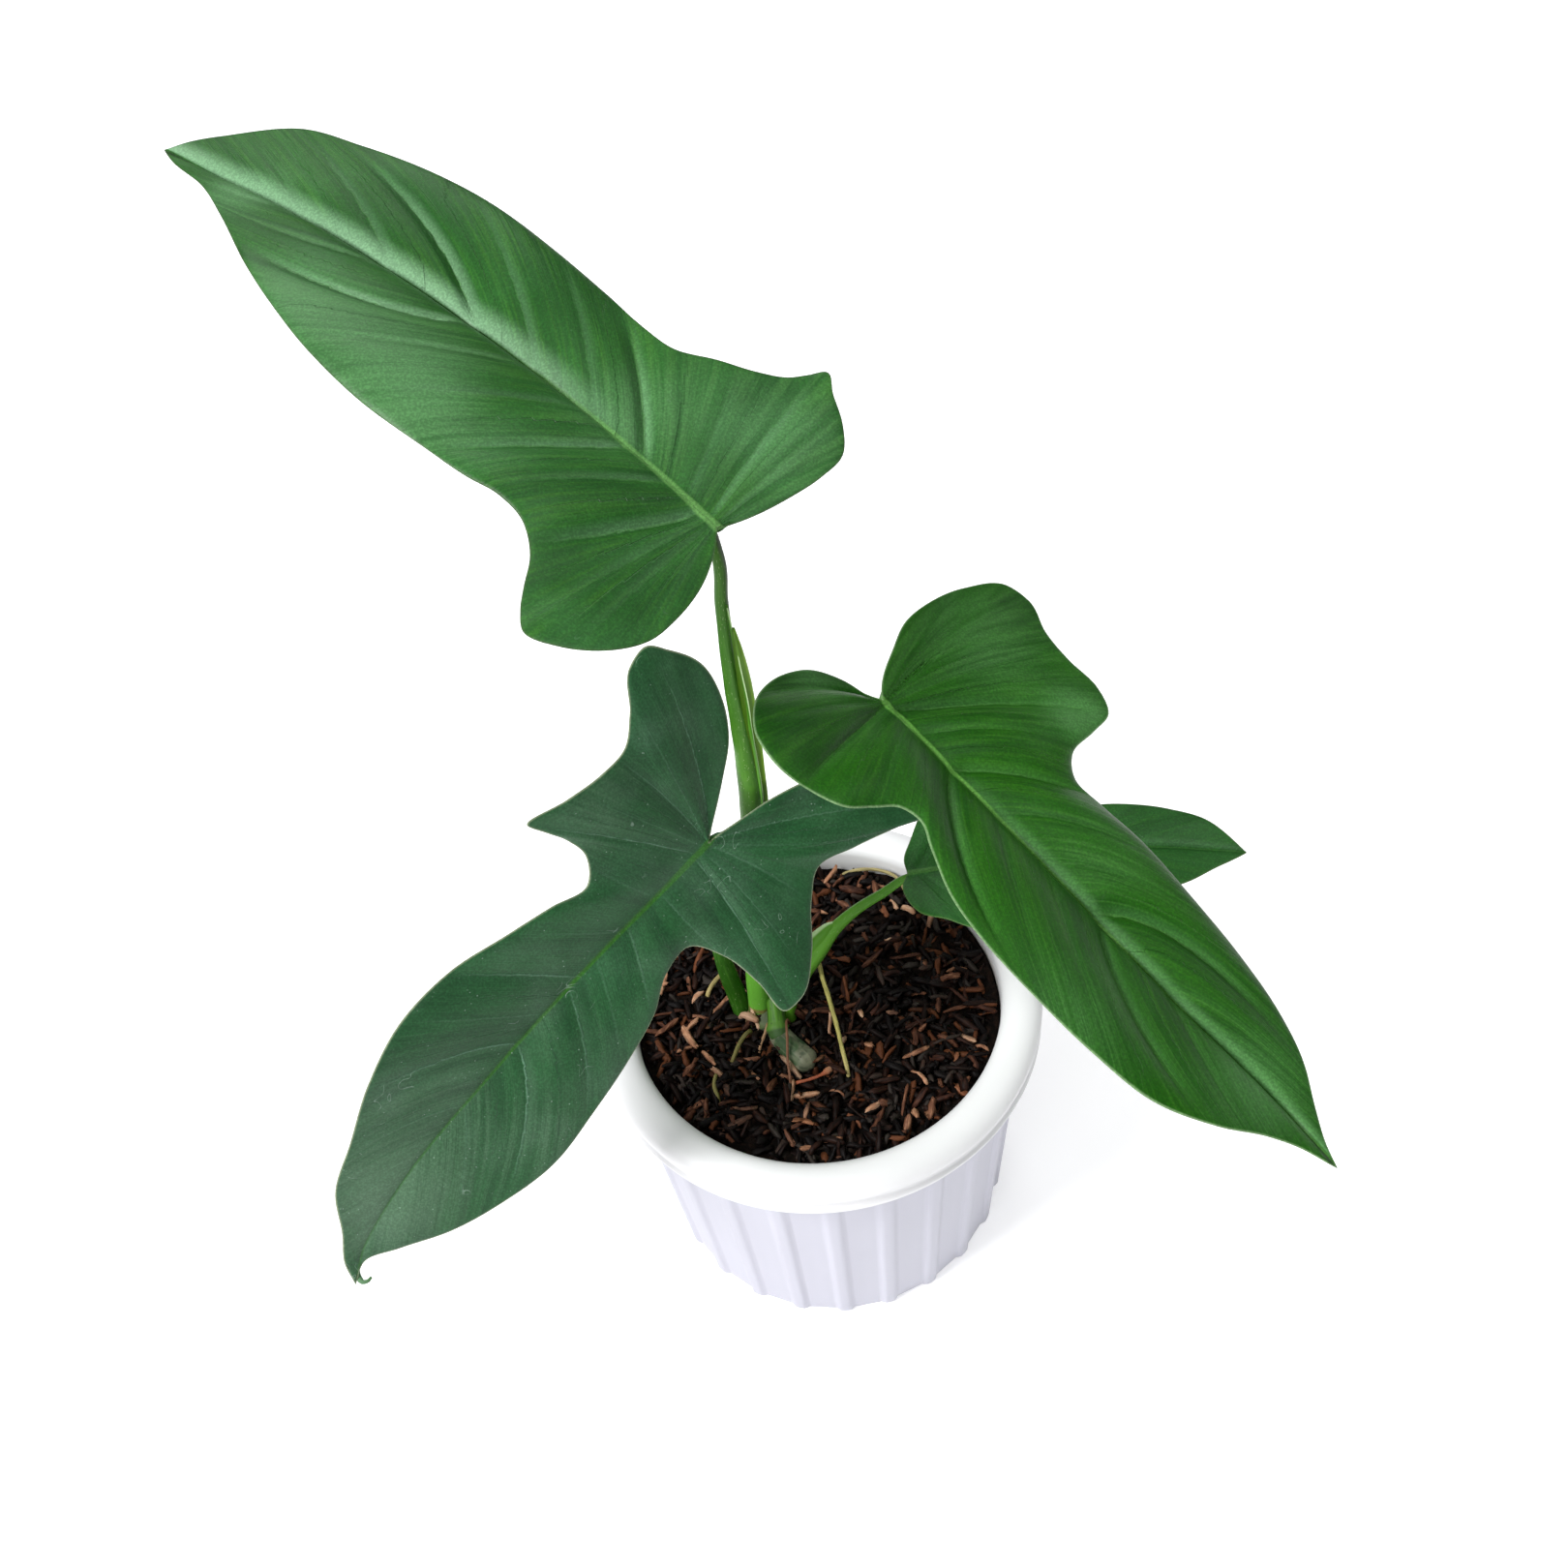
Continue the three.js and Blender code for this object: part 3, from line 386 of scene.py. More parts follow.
def veinField(lines, a, b, tipSign):
    # For each point: a coordinate that grows from one lateral to the next, its distance to every lateral and
    # how far along each it is, the pillow, its signed distance to the nearest lateral, and which that one is
    steps = np.linspace(0, 1, bladeFinish["lateralSteps"])
    spots = np.arange(len(a))
    signed, nearest, along, middles = [], [], [], []
    for line in lines:
        root, bend, end = np.array(line[:6], float).reshape(3, 2)
        curve = bent(root, bend, end, steps[:, None])
        heading = unit(np.gradient(curve, axis=0))
        away = np.stack([a, b], -1)[:, None, :] - curve
        squares = (away ** 2).sum(-1)
        pick = squares.argmin(1)
        gone, t = away[spots, pick], heading[pick]
        signed.append(tipSign * (t[:, 0] * gone[:, 1] - t[:, 1] * gone[:, 0]))
        nearest.append(np.sqrt(squares[spots, pick]))
        along.append(steps[pick])
        middles.append(curve[len(steps) // 2])
    signed, nearest, along = np.array(signed), np.array(nearest), np.array(along)

    def span(k, n):
        share = np.clip(signed[k] / np.maximum(signed[k] - signed[n], 0.3), 0, 1)
        return np.linalg.norm(middles[n] - middles[k]), share

    flow = np.minimum(signed[0], 0) + np.maximum(signed[-1], 0)
    for k in range(len(lines) - 1):
        gap, share = span(k, k + 1)
        flow += gap * share
    pillow = np.zeros_like(flow)
    main = [k for k, line in enumerate(lines) if line[-1] >= bladeFinish["mainDepth"]]
    for k, n in zip(main, main[1:]):
        gap, share = span(k, n)
        pillow += arched(share) * min(gap / bladeFinish["pillowSpan"], bladeFinish["pillowLimit"])
    pick = nearest.argmin(0)
    return flow, nearest, along, pillow, nearest[pick, spots] * np.sign(signed[pick, spots]), pick


def bladeNet(leaf):
    # Rows of points from the left margin to the right one, each as along, across, lift and share of the half
    start, end = leaf["midrib"][0], leaf["midrib"][-1]
    margins = []
    for side in (1, 4):
        along = [(*vein[side:side + 3], vein[0]) for vein in leaf["veins"]]
        margins.append([(*start, 0, 0), *along, (*end, 0, end[0])])
    spans = np.max([np.linalg.norm(np.diff(np.array(rows)[:, :2], axis=0), axis=1) for rows in margins], 0)
    counts = np.maximum(1, np.round(spans / bladeFinish["rowStep"]).astype(int))
    place = np.concatenate([i + np.arange(count) / count for i, count in enumerate(counts)])[1:]
    right, left = (smoothCurve(rows, 2)(place) for rows in margins)
    root = (right[:, 3] + left[:, 3]) / 2
    rib = midribAcross(leaf, root)
    firstTuck, lastTuck = bladeFinish["tuckedRows"]
    tuck = leaf["tuck"] * np.clip((lastTuck - place) / (lastTuck - firstTuck), 0, 1)
    shares = np.linspace(0, 1, bladeFinish["columns"] + 1)[1:-1] ** bladeFinish["crowding"]
    f = np.concatenate([shares, bladeFinish["margin"]])[None, :]

    def half(margin):
        bendA = root + (0.3 - 0.1 * tuck) * (margin[:, 0] - root)
        bendB = rib + (leaf["bulge"] + 0.3 * tuck) * (margin[:, 1] - rib)
        a = bent(root[:, None], bendA[:, None], margin[:, :1], f)
        b = bent(rib[:, None], bendB[:, None], margin[:, 1:2], f)
        return np.stack([a, b, margin[:, 2:3] * f * f, np.broadcast_to(f, a.shape)], -1)

    spine = np.stack([root, rib, 0 * root, 0 * root], -1)[:, None, :]
    return np.concatenate([half(left)[:, ::-1], spine, half(right)], 1)


def makeBlade(name, finish):
    leaf = blades[name]
    base = np.array(leaf["base"], float)
    along = np.array(leaf["tip"], float) - base
    length = np.linalg.norm(along)
    along = unit(along)
    across = np.array(leaf["side"], float)
    across = unit(across - across.dot(along) * along)
    up = np.cross(along, across)
    up *= math.copysign(1, up[2])

    net = bladeNet(leaf)
    rows, columns = net.shape[:2]
    middle = columns // 2
    ends = [[[*leaf["midrib"][i], 0, 0]] for i in (0, -1)]
    a, b, lift, share = np.concatenate([ends[0], net.reshape(-1, 4), ends[1]]).T
    onRight = np.concatenate([[True], np.tile(np.arange(columns) >= middle, rows), [True]])

    # Relief: laterals sink, the midrib stands up near the base and sinks towards the tip
    part = a / length
    off = b - midribAcross(leaf, a)
    flow, closeness, sink, pillow, away, force = np.zeros((6, len(a)))
    for lines, tipSign, mask in zip(leaf["laterals"], (-1, 1), (onRight, ~onRight)):
        field = veinField(lines, a[mask], b[mask], tipSign)
        flow[mask], nearest, passed, pillow[mask], away[mask], pick = field
        depths = np.array([line[-1] for line in lines])[:, None] ** bladeFinish["depthPower"]
        depths = depths * ((1 - passed ** 2.5) * np.clip(passed * 6 + 0.15, 0, 1))
        soft = np.sqrt(nearest ** 2 + 0.09) - 0.3
        sink[mask] = (depths * np.exp(-soft / leaf["veinWidth"])).max(0)
        closeness[mask] = (depths * np.exp(-(nearest / bladeFinish["lineWidth"]) ** 2)).max(0)
        force[mask] = depths[pick, np.arange(len(pick))]
    t = np.clip(part, 0, 1)
    ribWidth = between(leaf["ribWidth"], t ** 0.6)
    creaseDepth = between(leaf["crease"], np.clip(t * 3, 0, 1)) * np.clip((1 - t) * 8, 0, 1)
    softOff = np.sqrt(off ** 2 + 0.16) - 0.4
    riseBy, riseEnd = leaf["ribRise"]
    rise = riseBy * np.clip(1 - t / (riseEnd + 0.3), 0, 1)
    height = leaf["bow"] * arched(part) + between(leaf["fold"], t) * (np.hypot(off, 3) - 3)
    height += lift - leaf["curl"] * off ** 2 + leaf["pillow"] * pillow * 2.6 * share * (1 - share) ** 0.7
    height += np.where(onRight, *leaf["swell"]) * arched(share) * arched(t) - leaf["veinDepth"] * sink
    creaseWidth = np.where(onRight, *leaf["creaseWidth"])
    height += rise * np.exp(-(off / ribWidth) ** 2) - creaseDepth * np.exp(-softOff / creaseWidth)
    points = base + a[:, None] * along + b[:, None] * across + height[:, None] * up

    grid = 1 + np.arange(rows * columns).reshape(rows, columns)
    head = rows * columns + 1
    quads = np.array(gridFaces(grid))
    fans = np.array([(0, grid[0, c + 1], grid[0, c]) for c in range(columns - 1)]
                    + [(head, grid[-1, c], grid[-1, c + 1]) for c in range(columns - 1)])
    normals = np.zeros_like(points)
    for corners in (quads[:, [0, 1, 2]], quads[:, [0, 2, 3]], fans):
        p, q, r = (points[corners[:, k]] for k in range(3))
        facet = np.cross(q - p, r - p)
        for k in range(3):
            np.add.at(normals, corners[:, k], facet)
    normals = unit(normals)
    flip = normals[grid[rows // 2, middle]].dot(up) < 0
    if flip:
        normals = -normals

    # Distance to the margin, for the pale rim and the thinner edge
    edge = np.concatenate([[0], grid[:, -1], [head], grid[::-1, 0]])
    within = np.concatenate([[grid[0, middle]], grid[:, -2], [grid[-1, middle]], grid[::-1, 1]])
    spot = np.stack([a, b], -1)
    outline = np.concatenate([spot[edge] + f * (np.roll(spot[edge], -1, 0) - spot[edge]) for f in (0, 0.5)])
    toEdge = np.concatenate([np.sqrt(((some[:, None, :] - outline[None]) ** 2).sum(-1).min(1))
                             for some in np.array_split(spot, 8)])
    thickness = bladeFinish["thickness"] * (1 - bladeFinish["thinner"] * np.exp(-(toEdge / 0.5) ** 2))
    keel = np.sqrt(np.maximum((ribWidth + 0.5) ** 2 - off ** 2, 0)) * 0.9
    keel = (keel + bladeFinish["keel"] * closeness * (toEdge > 1)) * np.clip((1 - t) * 12, 0, 1)
    upper = points + normals * thickness[:, None] / 2
    lower = points - normals * (thickness / 2 + keel)[:, None]
    rim = points[edge] + unit(points[edge] - points[within]) * bladeFinish["edge"] * 0.5

    total = len(points)
    ring = 2 * total + np.arange(len(edge))
    nextEdge, nextRing = np.roll(edge, -1), np.roll(ring, -1)
    strips = np.stack([nextEdge, edge, ring, nextRing, nextRing, ring, total + edge, total + nextEdge], -1)
    groups = (quads, fans, quads[:, ::-1] + total, fans[:, ::-1] + total, strips.reshape(-1, 4))
    faces = [face[::-1] if flip else face for group in groups for face in group.tolist()]

    seed = np.where(onRight, 0, bladeFinish["leftSeed"]) + len(name) * bladeFinish["seedStep"]
    grain = np.stack([flow, np.abs(off), seed], -1)
    # tone: painted sheen above zero and painted shade below zero, from the leaf's tones
    tone = sum(strength * np.exp(-((a - x) ** 2 + (b - y) ** 2) / far ** 2)
               for x, y, far, strength in leaf["tones"])
    marks = np.stack([np.abs(off) / ribWidth, toEdge, tone], -1)
    reach = np.stack([t, share, np.zeros_like(t)], -1)
    ribs = np.stack([np.where(onRight, -away, away), force, off], -1)  # above zero on the side with the painted highlight
    top = np.array([0, 0, 1])  # marks the upper face
    values = {
        "grain": np.concatenate([grain, grain, grain[edge]]),
        "marks": np.concatenate([marks, marks, marks[edge] * (1, 0, 1)]),
        "reach": np.concatenate([reach + top, reach, reach[edge] + top / 2]),
        "ribs": np.concatenate([ribs, ribs, ribs[edge]]),
    }
    makePiece(name + "_blade", np.concatenate([upper, lower, rim]), faces, finish, name, values)


# In each look, pale is the painted sheen and deep is also the painted shade of the tones, and lit is a
# painted highlight
leafLooks = {
    "leaf_upper_left": {
        "deep": (0.008, 0.062, 0.007), "middle": (0.018, 0.102, 0.014), "fresh": (0.045, 0.175, 0.006),
        "cool": (0.036, 0.14, 0.038), "pale": (0.072, 0.2, 0.07), "rib": (0.1, 0.26, 0.062),
        "vein": (0.11, 0.27, 0.095), "rim": (0.08, 0.095, 0.05), "rimShare": 0.35,
        "under": (0.085, 0.19, 0.065), "dust": 0.1, "ribFade": (0.02, 0.45, 0.1), "lineShare": 0.8,
        "grooveAndPaintedLightShare": 0.5, "lit": (0.2, 0.38, 0.21), "ribHighlightShare": 0.85, "ribHighlightWidth": 8,
        "foldDepthAndShade": 1.1, "streaks": 0.36, "roughness": 0.42, "specular": 0.2,
    },
    "leaf_right": {
        "deep": (0.006, 0.056, 0.002), "middle": (0.013, 0.09, 0.003), "fresh": (0.042, 0.172, 0.006),
        "cool": (0.03, 0.136, 0.02), "pale": (0.058, 0.185, 0.046), "rib": (0.11, 0.31, 0.05),
        "vein": (0.08, 0.24, 0.05), "rim": (0.26, 0.4, 0.2), "rimShare": 0.6,
        "under": (0.075, 0.18, 0.05), "dust": 0.06, "ribFade": (0.3, 0.85, 0.25), "lineShare": 0.6,
        "grooveAndPaintedLightShare": 0.26, "lit": (0.1, 0.27, 0.085), "ribHighlightShare": 0.6, "ribHighlightWidth": 4.5,
        "foldDepthAndShade": 0.8, "streaks": 0.34, "roughness": 0.4, "specular": 0.12,
    },
    "leaf_front_left": {
        "deep": (0.01, 0.05, 0.017), "middle": (0.017, 0.08, 0.026), "fresh": (0.022, 0.105, 0.026),
        "cool": (0.03, 0.105, 0.046), "pale": (0.075, 0.15, 0.085), "rib": (0.026, 0.12, 0.01),
        "vein": (0.075, 0.165, 0.1), "rim": (0.3, 0.34, 0.22), "rimShare": 0.75,
        "under": (0.055, 0.11, 0.06), "dust": 0.7, "ribFade": (0.35, 0.85, 0.4), "lineShare": 1,
        "grooveAndPaintedLightShare": 0.12, "lit": (0.1, 0.19, 0.12), "ribHighlightShare": 0, "ribHighlightWidth": 4,
        "foldDepthAndShade": 0.12, "streaks": 0.15, "roughness": 0.46, "specular": 0.2,
    },
    "leaf_back_right": {
        "deep": (0.012, 0.082, 0.01), "middle": (0.022, 0.12, 0.018), "fresh": (0.044, 0.18, 0.014),
        "cool": (0.03, 0.13, 0.032), "pale": (0.05, 0.15, 0.05), "rib": (0.07, 0.21, 0.04),
        "vein": (0.05, 0.16, 0.05), "rim": (0.12, 0.19, 0.06), "rimShare": 0.5,
        "under": (0.055, 0.13, 0.045), "dust": 0.2, "ribFade": (0.1, 0.6, 0.3), "lineShare": 0.4,
        "grooveAndPaintedLightShare": 0.35, "lit": (0.08, 0.2, 0.08), "ribHighlightShare": 0.4, "ribHighlightWidth": 4,
        "foldDepthAndShade": 0.5, "streaks": 0.25, "roughness": 0.44, "specular": 0.16,
    },
}
dustTone = (0.42, 0.55, 0.47)


def leafFinish(name):
    look = leafLooks[name]
    finish = newFinish(name, Specular_IOR_Level=look["specular"])
    grain = finish.attribute("grain")
    toRib, toEdge, tone = finish.attribute("marks")
    along, _, upper = finish.attribute("reach")
    away, force, off = finish.attribute("ribs")
    spot = finish.place()

    broad = finish.fibres(grain, 0.13, 0.035)
    streak = finish.fibres(grain, 0.6, 0.03, 5, 3, 0.6)
    fine = finish.fibres(grain, 2.6, 0.07, 11, 2, 0.6)
    patch = finish.cloud(spot, 28)
    speck = finish.cloud(spot, 1500, 1)
    # The main laterals: a thin pale line in a groove, with painted shade on one side and a painted highlight
    # on the other
    groove = abs(away).ease(0, 2.6, 1, 0) * force
    shaded = away.ease(-3.6, -0.3) * away.ease(-0.3, 0.1, 1, 0) * force
    litSide = away.ease(0, 0.6) * away.ease(0.8, 3.4, 1, 0) * force
    line = abs(away).ease(0.1, 0.6, 1, 0) * force
    creaseAndShade = abs(off).ease(0, 1.7, 1, 0) * along.ease(0.12, 0.5)

    colour = finish.blend(broad.ease(0.35, 0.65), look["deep"], look["middle"])
    colour = colour.mix(streak.ease(0.42, 0.7, 0, look["streaks"]), look["fresh"])
    colour = colour.mix(patch.ease(0.5, 0.75, 0, 0.45), look["cool"])
    colour = colour.mix(fine.ease(0.35, 0.65, 0, 0.4), look["middle"])
    # The tones, with some random streaks added, paint sheen in pale above zero and shade in deep below zero
    tone = tone + streak.ease(0.3, 0.7, -0.15, 0.15)
    colour = colour.mix(tone.ease(0, 1, 0, 0.85), look["pale"])
    colour = colour.mix(tone.ease(0, -0.6, 0, 0.7), look["deep"])
    # Painted shade on one side of each main lateral, and a painted highlight in lit on the other
    colour = colour.mix(shaded * (look["grooveAndPaintedLightShare"] * 1.5), look["deep"])
    colour = colour.mix(litSide * look["grooveAndPaintedLightShare"], look["lit"])
    colour = colour.mix(line * look["lineShare"], look["vein"])
    # Painted shade in the crease along the midrib, with the same mask as the crease's relief
    colour = colour.mix(creaseAndShade * (look["foldDepthAndShade"] / 2), look["deep"])
    # A painted highlight in the lit colour along the midrib's right side
    ribHighlight = off.ease(0.3, 1) * off.ease(1.2, look["ribHighlightWidth"], 1, 0)
    colour = colour.mix(ribHighlight * along.ease(0.1, 0.45, 0, look["ribHighlightShare"]), look["lit"])
    nearRib = toRib.ease(0.55, 1.15, 1, 0)
    fadeFrom, fadeTo, fadeLeft = look["ribFade"]
    colour = colour.mix(nearRib * along.ease(fadeFrom, fadeTo, 0.85, fadeLeft), look["rib"])
    colour = colour.mix(toEdge.ease(0.05, 0.6, look["rimShare"], 0), look["rim"])

    # Pale dust: specks, and thin curls where water dried
    curls = abs(finish.cloud(spot, 130, 1, 0.5, 0.8) - 0.5).ease(0.003, 0.01, 0.36, 0)
    curls = curls * finish.cloud(spot, 80, 1).ease(0.64, 0.7)
    dots = finish.cells(spot, 520).ease(0.04, 0.15, 0.6, 0) * finish.cloud(spot, 210).ease(0.5, 0.62)
    film = finish.cloud(spot, 45, 3).ease(0.4, 0.8, 0, 0.08)
    dust = (curls.calc("MAXIMUM", dots) + film) * look["dust"]
    colour = colour.mix(dust, dustTone)
    grey = speck.ease(0.35, 0.75, 0.82, 1.2)
    colour = finish.blend(1, colour, finish.add("CombineXYZ", {0: grey, 1: grey, 2: grey}), "MULTIPLY")
    upper = upper.ease(0.45, 0.55)
    colour = finish.blend(upper, finish.blend(nearRib * 0.8, look["under"], look["rib"]), colour)

    rough = streak * 0.1 + (look["roughness"] - 0.06) + dust * 0.35 + upper.ease(0, 1, 0.15, 0)
    finish.put(rough, finish.shader.inputs["Roughness"])
    # Height in millimetres, for the grooves, the fold of the midrib and the grain
    relief = groove * (-1.2 * look["grooveAndPaintedLightShare"]) + line * 0.2 + creaseAndShade * -look["foldDepthAndShade"]
    relief = relief + fine * 0.085 + streak * (0.4 * look["streaks"]) + speck * 0.04
    return finish.finished(colour, relief, mm)


# Stems: points from the foot up with the radius at each, as (x, y, z, radius)
stems = {
    "petiole_upper_left": [
        (-19.5, 1, 101, 3.5), (-19, 2.5, 114, 3.6), (-18, 4, 135, 3.3), (-16.5, 6.5, 160, 2.9),
        (-14.3, 6.5, 186, 2.5), (-12.5, 4, 212, 2.3), (-12, 3.5, 242, 2.1), (-12.7, 2.2, 275, 1.9),
        (-12.2, 3, 303, 1.8), (-11.5, 3, 321, 1.7), (-13.5, 6.5, 329.4, 1.4), (-17.5, 11, 331.4, 1.1)],
    "petiole_front_left": [
        (-24.5, 3, 100, 3.1), (-27, 6, 114, 3.2), (-29, 7, 130, 2.9), (-29.2, 6, 150, 2.5),
        (-28.3, -0.5, 180, 2), (-26.8, -6.5, 207, 1.8), (-27, -9.8, 214, 1.6), (-28, -11.8, 216.6, 1.4),
        (-31, -13.9, 214.9, 1.1)],
    "petiole_right": [
        (-10.5, 3, 101, 3.1), (-11, 5.5, 118, 3), (-7.2, 11, 141, 2.7), (-1, 14.5, 166, 2.4),
        (8, 14.5, 195, 2.2), (18, 11, 222, 2), (25, 6, 244, 1.8), (27.6, 1, 254, 1.8),
        (29, -4, 258.9, 1.5), (32.7, -10, 257.7, 1.1)],
    "petiole_back_right": [
        (-11, -3, 101, 3.3), (-10.5, 0, 109, 3.3), (-5, 5.5, 117, 3.2), (2.3, 10, 124.5, 3),
        (8.9, 13.8, 131, 2.6), (16.2, 15.8, 137, 2.1), (25.5, 17, 142.8, 1.8), (34, 18.8, 147.2, 1.5),
        (40, 18.3, 148.6, 1.1)],
    "new_leaf": [
        (-17, 7.5, 107, 2.2), (-16, 9, 125, 2.1), (-14, 10, 150, 2), (-11.5, 8.5, 183, 2),
        (-9, 6, 212, 2), (-8.8, 3.8, 230, 2.1), (-8.7, 2.4, 248, 2.2), (-8.9, 0.8, 262, 2.2),
        (-9.2, -0.4, 276, 2), (-9.6, -1.8, 288, 1.4), (-10, -3, 298, 0.5)],
    "root_yellow": [
        (-13, 9, 101, 1.5), (-7, 13, 112, 1.4), (1, 13, 116.3, 1.3), (2.8, 4.5, 115.5, 1.3),
        (4.3, -4, 113, 1.3), (5.5, -12, 111, 1.2), (6.2, -19, 109.2, 1.2), (7, -25.5, 107, 1.2),
        (7.2, -29, 98, 1.1)],
    "root_brown": [
        (-10, -6, 101, 0.9), (-10.5, -6, 110, 0.9), (-11, -9, 113.3, 0.9), (-11.3, -15, 113.6, 0.9),
        (-12, -21.5, 110.6, 0.9), (-12, -27, 107, 0.9), (-12.4, -30, 98, 0.9)],
    "root_olive": [
        (-22.5, -5.5, 101, 1), (-24, -7, 107.4, 1), (-27, -10.5, 107.4, 1), (-29.5, -15, 106.4, 1),
        (-33, -18, 97, 1)],
    "root_back": [
        (12, 57, 97, 1.2), (14.5, 55.5, 104, 1.2), (20, 54.5, 107, 1.2), (27, 53, 107.4, 1.2),
        (33, 49, 107, 1.2), (35.5, 43, 105.3, 1.2), (38, 39, 98, 1.2)],
}
caneStems = {
    "crown": [(-17, 0, 86, 5.5), (-17, 0, 97, 7), (-17, 0, 104, 7), (-17, 0, 107.5, 5.5),
              (-17, 0, 109, 2.5)],
    "stub": [(-15, -2, 102.5, 3.2), (-14, -8, 105, 3.9), (-11, -14, 106.6, 4.2), (-7.5, -19, 106.9, 4.4),
             (-5.3, -21.8, 106.8, 3.8), (-4.6, -22.7, 106.7, 2.4)],
    "internode": [(-14.6, 3, 113, 2.4), (-14.2, 1, 113.2, 2.9), (-14.1, -2, 111.8, 2.9),
                  (-14.2, -5.5, 110, 3.1), (-14.1, -8.6, 108.3, 3.5), (-13.7, -10.2, 107.2, 3.2)],
}


def sweep(points, sides, step, section):
    # Rings along a smooth route: (rings, sides, 3) points, with each ring's distance and each side's turn
    curve = smoothCurve(points, 3)
    dense = curve(np.linspace(0, len(points) - 1, 60 * len(points)))
    run = np.concatenate([[0], np.cumsum(np.linalg.norm(np.diff(dense[:, :3], axis=0), axis=1))])
    distance = np.linspace(0, run[-1], max(4, int(run[-1] / step)) + 1)
    centre = np.stack([np.interp(distance, run, dense[:, c]) for c in range(4)], -1)
    tangent = unit(np.gradient(centre[:, :3], axis=0))
    side = unit(np.cross(tangent[0], (0, 1, 0)))
    normals = []
    for heading in tangent:
        side = unit(side - side.dot(heading) * heading)
        normals.append(side)
    normals = np.array(normals)
    binormals = np.cross(tangent, normals)
    turn = np.linspace(0, fullTurn, sides, endpoint=False)
    radius = (centre[:, 3:4] * section(distance[:, None], distance[-1], turn[None, :]))[..., None]
    rings = (centre[:, None, :3] + normals[:, None] * radius * np.cos(turn)[None, :, None]
             + binormals[:, None] * radius * np.sin(turn)[None, :, None])
    return rings, distance, turn, centre, tangent


def stemParts(points, sides, step, section):
    # The mesh of a sweep, closed with a rounded cap at each end, and the values that its material reads:
    # (distance round the stem, distance along it, seed) and (share of length, turn across, turn towards)
    rings, distance, turn, centre, tangent = sweep(points, sides, step, section)
    index = np.arange(rings.shape[0] * sides).reshape(-1, sides)
    foot, head = index.size, index.size + 1
    faces = gridFaces(index, closed=True) + capFaces(foot, index[0].tolist(), head, index[-1].tolist())
    ends = centre[[0, -1], :3] + tangent[[0, -1]] * centre[[0, -1], 3:] * [[-0.5], [0.5]]
    along, cosine, sine = np.broadcast_arrays(distance[:, None], np.cos(turn), np.sin(turn))
    values = {"grain": (cosine * 3, along, sine * 3), "reach": (along / distance[-1], sine, cosine)}
    for label, numbers in values.items():
        numbers = np.stack(numbers, -1).reshape(-1, 3)
        values[label] = np.concatenate([numbers, numbers[:1], numbers[-1:]])
    return np.concatenate([rings.reshape(-1, 3), ends]), faces, values


def makeStem(name, points, finish, replaced, sides, step, section):
    meshPoints, faces, values = stemParts(points, sides, step, section)
    makePiece(name, meshPoints, faces, finish, replaced, values)


petioleLooks = {
    "petiole_upper_left": {
        "foot": (0.13, 0.4, 0.04), "middle": (0.052, 0.17, 0.01), "head": (0.036, 0.13, 0.009),
        "flush": (0.062, 0.062, 0.058), "flushFrom": 0.7, "roughness": 0.42, "scar": 0.036,
        "girth": [(0, 1), (0.09, 1.08), (0.27, 1.2), (0.36, 1.38), (0.45, 1.5), (0.55, 1.42), (0.64, 1.16),
                  (0.75, 1.03), (1, 0.95)],
    },
    "petiole_front_left": {
        "foot": (0.02, 0.09, 0.005), "middle": (0.022, 0.095, 0.008), "head": (0.03, 0.12, 0.01),
        "flush": (0.03, 0.05, 0.015), "flushFrom": 0.9, "roughness": 0.42, "scar": 0,
        "girth": [(0, 1), (1, 1)],
    },
    "petiole_right": {
        "foot": (0.12, 0.36, 0.04), "middle": (0.065, 0.21, 0.022), "head": (0.06, 0.22, 0.018),
        "flush": (0.07, 0.06, 0.03), "flushFrom": 0.9, "roughness": 0.4, "scar": 0,
        "girth": [(0, 1), (1, 1)],
    },
    "petiole_back_right": {
        "foot": (0.12, 0.34, 0.022), "middle": (0.105, 0.3, 0.026), "head": (0.08, 0.24, 0.024),
        "flush": (0.06, 0.06, 0.03), "flushFrom": 0.95, "roughness": 0.42, "scar": 0,
        "girth": [(0, 1), (0.35, 1), (0.5, 0.86), (0.62, 0.86), (1, 0.9)],
    },
}
stalkTones = {"scar": (0.2, 0.11, 0.045), "lines": (0.13, 0.32, 0.05), "fleck": (0.3, 0.42, 0.18),
              "dark": (0.02, 0.06, 0.012), "rim": (0.48, 0.66, 0.34)}


def petioleFinish(name, look):
    finish = newFinish(name, Roughness=look["roughness"], Specular_IOR_Level=0.14)
    grain = finish.attribute("grain")
    along, _, side = finish.attribute("reach")
    colour = finish.blend(along.ease(0.02, 0.4), look["foot"], look["middle"])
    colour = colour.mix(along.ease(0.45, 0.8), look["head"])
    colour = colour.mix(abs(along - look["scar"]).ease(0.002, 0.006, 0.85, 0), stalkTones["scar"])
    colour = colour.mix(side.ease(-0.2, -0.95, 0, 0.55), look["head"])  # painted shade: the right side is duller
    colour = colour.mix(along.ease(look["flushFrom"], 1, 0, 0.8) * side.ease(0, -0.8), look["flush"])
    lines = finish.fibres(grain, 0.9, 0.06, 0, 3, 0.6)
    colour = colour.mix(lines.ease(0.45, 0.75, 0, 0.3), stalkTones["lines"])
    fleck = finish.fibres(grain, 1.6, 0.55, 9, 1, scale=1.3)
    colour = colour.mix(fleck.ease(0.66, 0.76, 0, 0.5), stalkTones["fleck"])
    dark = finish.cloud(finish.place(), 420)
    colour = colour.mix(dark.ease(0.5, 0.75, 0, 0.15), stalkTones["dark"])
    return finish.finished(colour, lines, 0.0002, 0.5)


